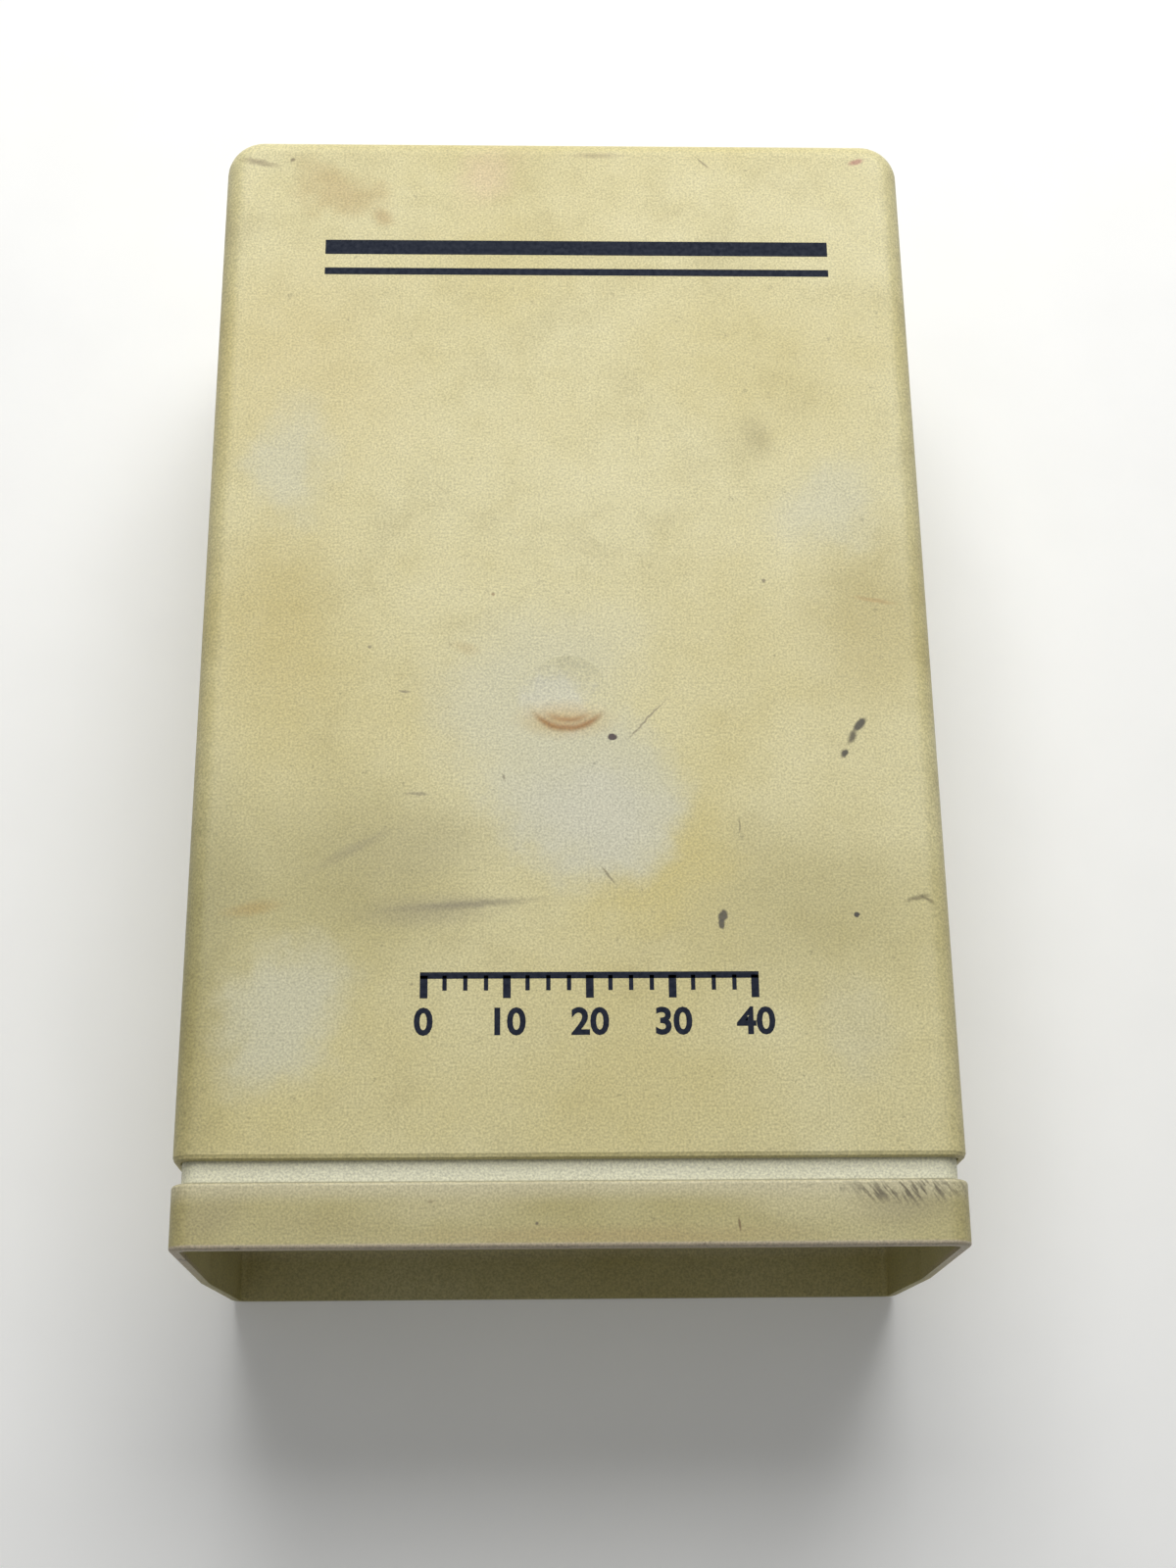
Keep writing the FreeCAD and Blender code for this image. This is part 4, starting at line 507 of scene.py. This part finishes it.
def batteryJacket():
    low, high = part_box("battery")
    material, tree, shader, place, colour = finish(
        "paintedSteelJacket", "#33424f", "#2a3843", grainMm=2.0, roughness=0.32)
    begins, ends = (high.y - distance * mm for distance in jacket["bandMm"])
    crimp = jacket["crimpMm"] * mm
    colour = band(tree, colour, place, "Y", begins, ends, jacket["band"])
    colour = band(tree, colour, place, "Y", low.y - mm, low.y + crimp, jacket["crimp"])
    colour = band(tree, colour, place, "Y", high.y - crimp, high.y + mm, jacket["crimp"])
    tree.links.new(colour, shader.inputs["Base Color"])
    return material


# shrink sleeve on the capacitors: dark blue, with the pale stripe down one side and a bare aluminium end
shrink = {"stripeMm": (4, 2.2), "stripe": "#b9c0c8", "endMm": 0.4, "end": "#c4c5c4"}


def capacitorSleeve():
    low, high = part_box("capacitors")
    material, tree, shader, place, colour = finish(
        "shrinkSleeve", "#26385c", "#1e2d4b", grainMm=1.5, roughness=0.3)
    middle = (low.y + high.y) / 2
    begins, ends = (middle - distance * mm for distance in shrink["stripeMm"])
    colour = band(tree, colour, place, "Y", begins, ends, shrink["stripe"])
    colour = band(tree, colour, place, "Z", low.z - mm, low.z + shrink["endMm"] * mm, shrink["end"])
    tree.links.new(colour, shader.inputs["Base Color"])
    return material


# lacquered resistors: tan, with four colour rings each and bare wire at both ends
lacquer = {
    "rings": [(-2.3, "#7a4a25"), (-1.1, "#1d1d1d"), (0.1, "#c8622a"), (2.2, "#b8933f")],
    "halfRingMm": 0.3, "fromEndMm": 5.3, "wireMm": (3.16, 7), "wire": "#b9b7b2",
}


def resistorLacquer():
    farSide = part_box("resistors")[1].x - lacquer["fromEndMm"] * mm
    halfRing = lacquer["halfRingMm"] * mm
    material, tree, shader, place, colour = finish(
        "bakedLacquer", "#cdb187", "#bd9f74", grainMm=1.0, roughness=0.3)
    for centre in (-farSide, farSide):
        for offset, ring in lacquer["rings"]:
            middle = centre + offset * mm
            colour = band(tree, colour, place, "X", middle - halfRing, middle + halfRing, ring)
        for end in (-1, 1):
            first, last = sorted(centre + end * distance * mm for distance in lacquer["wireMm"])
            colour = band(tree, colour, place, "X", first, last, lacquer["wire"])
    tree.links.new(colour, shader.inputs["Base Color"])
    return material


# glass-epoxy laminate: green solder mask with paler copper tracks under it
laminate = {"trackStepMm": 9, "trackWidth": 0.06, "track": "#2f7a48"}


def boardLaminate():
    material, tree, shader, place, colour = finish(
        "greenSolderMask", "#1f5a34", "#1a4d2c", grainMm=4.0, roughness=0.35)
    tracks = add(tree, "TexBrick", {
        "Vector": place, "Scale": 1 / (laminate["trackStepMm"] * mm),
        "Mortar Size": laminate["trackWidth"], "Mortar Smooth": 0.1,
        "Color1": (0, 0, 0, 1), "Color2": (0, 0, 0, 1), "Mortar": (1, 1, 1, 1)})
    mixed = add(tree, "MixRGB", {
        "Fac": tracks.outputs["Color"], "Color1": colour, "Color2": linear(laminate["track"])})
    tree.links.new(mixed.outputs[0], shader.inputs["Base Color"])
    return material


paint(batteryJacket(), "battery")
paint(capacitorSleeve(), "capacitors")
paint(resistorLacquer(), "resistors")
paint(boardLaminate(), "circuit_board")

# printed polyester film on the face: slate blue, with a fine matt grain
film = finish("printedPolyesterFilm", "#35404f", "#2f3947", grainMm=0.5, roughness=0.5)[0]
paint(film, "face_label")
# glossy moulded key: signal red, in two close tones
redAbs = finish("redAbsKey", "#a8281f", "#93211a", grainMm=2.5, roughness=0.34, ior=1.54)[0]
paint(redAbs, "key_cap")

# clear acrylic window: polished, with fine scratches in its gloss
acrylic = {
    "roughness": 0.04, "ior": 1.49, "scratchMm": 0.8, "scratchRange": (0.4, 0.75), "gloss": (0.02, 0.12),
}


def clearAcrylic():
    material, tree, shader, place = newMaterial("clearAcrylic", acrylic["roughness"], acrylic["ior"])
    shader.inputs["Transmission Weight"].default_value = 1.0
    scratches = add(tree, "TexNoise", {
        "Vector": place, "Scale": 1 / (acrylic["scratchMm"] * mm), "Detail": 6})
    low, high = acrylic["scratchRange"]
    clear, dull = acrylic["gloss"]
    gloss = add(tree, "MapRange", {
        "Value": scratches.outputs[0], "From Min": low, "From Max": high, "To Min": clear, "To Max": dull})
    tree.links.new(gloss.outputs[0], shader.inputs["Roughness"])
    return material


# unpowered liquid-crystal cell: grey-green glass with a faint mottle
cell = finish("liquidCrystalCell", "#9aa28a", "#929a83", grainMm=6.0, roughness=0.22)[0]
paint(cell, "display_glass")
paint(clearAcrylic(), "display_window")
print("inner finishes done")


# a closed thin print: bars and figures in one mesh, standing a hair proud of what carries it
def printPiece(name, body, ink, height, thickness, bars, figures, stroke=0.0):
    shape = bmesh.new()
    for x, y, width, depth in bars:
        made = bmesh.ops.create_cube(shape, size=1.0)
        size = Matrix.Diagonal((width * mm, depth * mm, thickness, 1))
        place = Matrix.Translation((x * mm, y * mm, height))
        bmesh.ops.transform(shape, matrix=place @ size, verts=made["verts"])
    for text, x, y, size in figures:
        curve = bpy.data.curves.new("figure", "FONT")
        curve.body = text
        curve.size = size * mm
        curve.align_x = "CENTER"
        curve.align_y = "CENTER"
        curve.extrude = thickness / 2
        curve.offset = size * stroke * mm
        curve.resolution_u = 4
        holder = bpy.data.objects.new("figure", curve)
        bpy.context.scene.collection.objects.link(holder)
        bpy.context.view_layer.update()
        solid = bpy.data.meshes.new_from_object(holder.evaluated_get(bpy.context.evaluated_depsgraph_get()))
        solid.transform(Matrix.Translation((x * mm, y * mm, height)))
        shape.from_mesh(solid)
        bpy.data.objects.remove(holder)
        bpy.data.meshes.remove(solid)
    bmesh.ops.remove_doubles(shape, verts=shape.verts, dist=1e-7)
    bmesh.ops.recalc_face_normals(shape, faces=shape.faces)
    mesh = bpy.data.meshes.new(name)
    shape.to_mesh(mesh)
    shape.free()
    mesh.materials.append(ink)
    piece = bpy.data.objects.new(name, mesh)
    bpy.context.scene.collection.objects.link(piece)
    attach(piece, body)
    return piece


# pad-printed ink: near-black navy, dull
navyInk, _, inkShader, _, _ = finish("navyPadInk", "#141a28", "#1c2230", grainMm=0.5, roughness=0.7)
inkShader.inputs["Specular IOR Level"].default_value = 0.15
# screen-printed ink on the face, and the readout's segments as they look without power
whiteInk = finish("whiteScreenInk", "#d7d8d3", "#c7c8c3", grainMm=0.6, roughness=0.5)[0]
ghostInk = finish("unpoweredSegment", "#848c77", "#7d8570", grainMm=2.0, roughness=0.25)[0]
inkMm = 0.02  # thickness of a print

# plain rules at the head of the sleeve, and a plain scale of numbers near its mouth
sleevePrint = {
    "rules": [(1.5, 49.6, 58, 1.9), (1.5, 46.4, 58, 0.9)],  # x, y, width, depth
    "scaleAt": (2, -41.5), "numbers": 5, "step": 8.5, "parts": 4,
    "tick": (0.8, 2.4), "tickUp": 3.2, "smallTick": (0.45, 1.6), "smallTickUp": 3.6,
    "line": 0.7, "lineUp": 4.4, "figure": 3.9, "figureDown": 0.6, "stroke": 0.028,
}


def printSleeve():
    bars = list(sleevePrint["rules"])
    figures = []
    middle, y = sleevePrint["scaleAt"]
    step, parts, last = sleevePrint["step"], sleevePrint["parts"], sleevePrint["numbers"] - 1
    for k in range(last + 1):
        x = middle + (k - last / 2) * step
        bars.append((x, y + sleevePrint["tickUp"], *sleevePrint["tick"]))
        figures.append((str(10 * k), x, y - sleevePrint["figureDown"], sleevePrint["figure"]))
        if k < last:
            for part in range(1, parts):
                smallX = x + part * step / parts
                bars.append((smallX, y + sleevePrint["smallTickUp"], *sleevePrint["smallTick"]))
    width = last * step + sleevePrint["tick"][0]
    bars.append((middle, y + sleevePrint["lineUp"], width, sleevePrint["line"]))
    made = printPiece(
        "sleevePrint", "sleeve", navyInk, topOfSleeve, inkMm * mm, bars, figures, sleevePrint["stroke"])


# face of the meter: a fine border, a scale below the window and a bar over the key
facePrint = {
    "inset": 1.5, "border": 0.4, "scaleDown": 3.5, "numbers": 6, "step": 9, "parts": 5,
    "tick": (0.45, 2.4), "smallTick": (0.25, 1.5), "smallTickUp": 0.45, "figure": 3.2, "figureDown": 3.6,
    "percent": 3.6, "percentDown": 8, "keyBar": (16, 0.6), "keyBarUp": 1.4,
}


def printFace():
    low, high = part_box("face_label")
    inset, border = facePrint["inset"], facePrint["border"]
    left, right = low.x / mm + inset, high.x / mm - inset
    near, far = low.y / mm + inset, high.y / mm - inset
    bars = []
    for y in (near, far):
        bars.append(((left + right) / 2, y, right - left, border))
    for x in (left, right):
        bars.append((x, (near + far) / 2, border, far - near))
    figures = []
    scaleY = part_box("display_window")[0].y / mm - facePrint["scaleDown"]
    step, parts, last = facePrint["step"], facePrint["parts"], facePrint["numbers"] - 1
    for k in range(last + 1):
        x = (k - last / 2) * step
        bars.append((x, scaleY, *facePrint["tick"]))
        figures.append((str(10 * k), x, scaleY - facePrint["figureDown"], facePrint["figure"]))
        if k < last:
            for part in range(1, parts):
                smallX = x + part * step / parts
                bars.append((smallX, scaleY + facePrint["smallTickUp"], *facePrint["smallTick"]))
    figures.append(("%", 0, scaleY - facePrint["percentDown"], facePrint["percent"]))
    bars.append((0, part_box("key_cap")[1].y / mm + facePrint["keyBarUp"], *facePrint["keyBar"]))
    made = printPiece("facePrint", "meter", whiteInk, high.z, inkMm * mm, bars, figures)


# seven-segment figures of the unpowered readout, with one point
segments = {
    "figures": 4, "pitchMm": 10.0, "widthMm": 7.0, "heightMm": 12.0, "strokeMm": 1.3, "gapMm": 0.35,
    "pointDownMm": 0.3, "liftMm": 0.02, "thickMm": 0.03,
}


def printReadout():
    low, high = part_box("display_glass")
    middleX = (low.x + high.x) / 2 / mm
    middleY = (low.y + high.y) / 2 / mm
    width, height, stroke = segments["widthMm"], segments["heightMm"], segments["strokeMm"]
    gap, pitch, last = segments["gapMm"], segments["pitchMm"], segments["figures"] - 1
    bars = []
    for k in range(last + 1):
        x = middleX + (k - last / 2) * pitch
        for level in (-1, 0, 1):
            bars.append((x, middleY + level * (height - stroke) / 2, width - 2 * stroke - gap, stroke))
        for side in (-1, 1):
            for level in (-1, 1):
                bars.append((x + side * (width - stroke) / 2, middleY + level * (height - stroke) / 4,
                             stroke, (height - stroke) / 2 - gap))
    bars.append((middleX + pitch, middleY - height / 2 - segments["pointDownMm"], stroke, stroke))
    lifted = high.z + segments["liftMm"] * mm
    made = printPiece("readoutSegments", "meter", ghostInk, lifted, segments["thickMm"] * mm, bars, [])


printSleeve()
printFace()
printReadout()
print("prints done")

# pale table top under the meter: white laminate, with a little lift where the camera sees it
table = {"halfSize": 1.5, "tones": ("#f2f2f0", "#f8f8f6"), "toneMm": 12, "roughness": 0.8, "lift": 0.09}


def layFloor():
    shape = bmesh.new()
    bmesh.ops.create_grid(shape, x_segments=1, y_segments=1, size=table["halfSize"])
    mesh = bpy.data.meshes.new("tableTop")
    shape.to_mesh(mesh)
    shape.free()
    floor = bpy.data.objects.new("tableTop", mesh)
    bpy.context.scene.collection.objects.link(floor)
    material, tree, shader, place = newMaterial("whiteLaminate", table["roughness"])
    noise = add(tree, "TexNoise", {"Vector": place, "Scale": 1 / (table["toneMm"] * mm), "Detail": 3})
    darker, lighter = (linear(tone) for tone in table["tones"])
    colour = add(tree, "MixRGB", {"Fac": noise.outputs[0], "Color1": darker, "Color2": lighter})
    tree.links.new(colour.outputs[0], shader.inputs["Base Color"])
    rays = add(tree, "LightPath", {})
    lift = add(tree, "Math", {0: rays.outputs["Is Camera Ray"], 1: table["lift"]}, operation="MULTIPLY")
    shader.inputs["Emission Color"].default_value = linear("#ffffff")
    tree.links.new(lift.outputs[0], shader.inputs["Emission Strength"])
    mesh.materials.append(material)


# soft lamps: places and sizes in metres
lamps = [
    {"name": "farSoftbox", "at": (0.03, 0.36, 0.44), "aim": (0, 0.02, 0.03), "size": 0.5, "watts": 3.35},
    {"name": "highFill", "at": (-0.2, -0.1, 0.9), "aim": (0, 0, 0.03), "size": 0.6, "watts": 0.7},
]


def aimed(place, target):
    back = (Vector(place) - Vector(target)).normalized()
    return Matrix.Translation(place) @ back.to_track_quat("Z", "Y").to_matrix().to_4x4()


def setLamps():
    for lamp in lamps:
        data = bpy.data.lights.new(lamp["name"], "AREA")
        data.size = lamp["size"]
        data.energy = lamp["watts"]
        holder = bpy.data.objects.new(lamp["name"], data)
        holder.matrix_world = aimed(lamp["at"], lamp["aim"])
        bpy.context.scene.collection.objects.link(holder)


# even room light, and a pale room where the camera, a gloss or clear plastic looks into it
room = {"colour": "#f4f6f8", "strength": 0.12, "shownColour": "#f1f1ef", "shownStrength": 0.92}


def setWorld():
    world = bpy.data.worlds.new("room")
    world.use_nodes = True
    tree = world.node_tree
    even = tree.nodes["Background"]
    even.inputs["Color"].default_value = linear(room["colour"])
    even.inputs["Strength"].default_value = room["strength"]
    shown = add(tree, "Background", {"Color": linear(room["shownColour"]), "Strength": room["shownStrength"]})
    rays = add(tree, "LightPath", {})
    straight = add(tree, "Math", {
        0: rays.outputs["Is Camera Ray"], 1: rays.outputs["Is Glossy Ray"]}, operation="MAXIMUM")
    seen = add(tree, "Math", {
        0: straight.outputs[0], 1: rays.outputs["Is Transmission Ray"]}, operation="MAXIMUM")
    both = add(tree, "MixShader", {0: seen.outputs[0], 1: even.outputs[0], 2: shown.outputs[0]})
    tree.links.new(both.outputs[0], tree.nodes["World Output"].inputs["Surface"])
    bpy.context.scene.world = world


# the photograph's view: angles in degrees, places in mm
view = {
    "pitch": 70.14, "yaw": 4.92, "roll": -4.57, "lens": 52.02, "at": (-4.93, -97.4, 267.0), "nearest": 10,
}


def setCamera():
    pitch, yaw, roll = (math.radians(view[name]) for name in ("pitch", "yaw", "roll"))
    ahead = Vector((math.sin(yaw) * math.cos(pitch), math.cos(yaw) * math.cos(pitch), -math.sin(pitch)))
    level = Vector((math.cos(yaw), -math.sin(yaw), 0))
    down = ahead.cross(level)
    right = math.cos(roll) * level + math.sin(roll) * down
    up = math.sin(roll) * level - math.cos(roll) * down
    data = bpy.data.cameras.new("photoCamera")
    data.lens = view["lens"]
    data.clip_start = view["nearest"] * mm
    camera = bpy.data.objects.new("photoCamera", data)
    turn = Matrix((right, up, -ahead)).transposed().to_4x4()
    camera.matrix_world = Matrix.Translation(Vector(view["at"]) * mm) @ turn
    bpy.context.scene.collection.objects.link(camera)
    bpy.context.scene.camera = camera


layFloor()
setLamps()
setWorld()
setCamera()
bpy.context.scene.view_settings.view_transform = "Standard"
print("stage set")
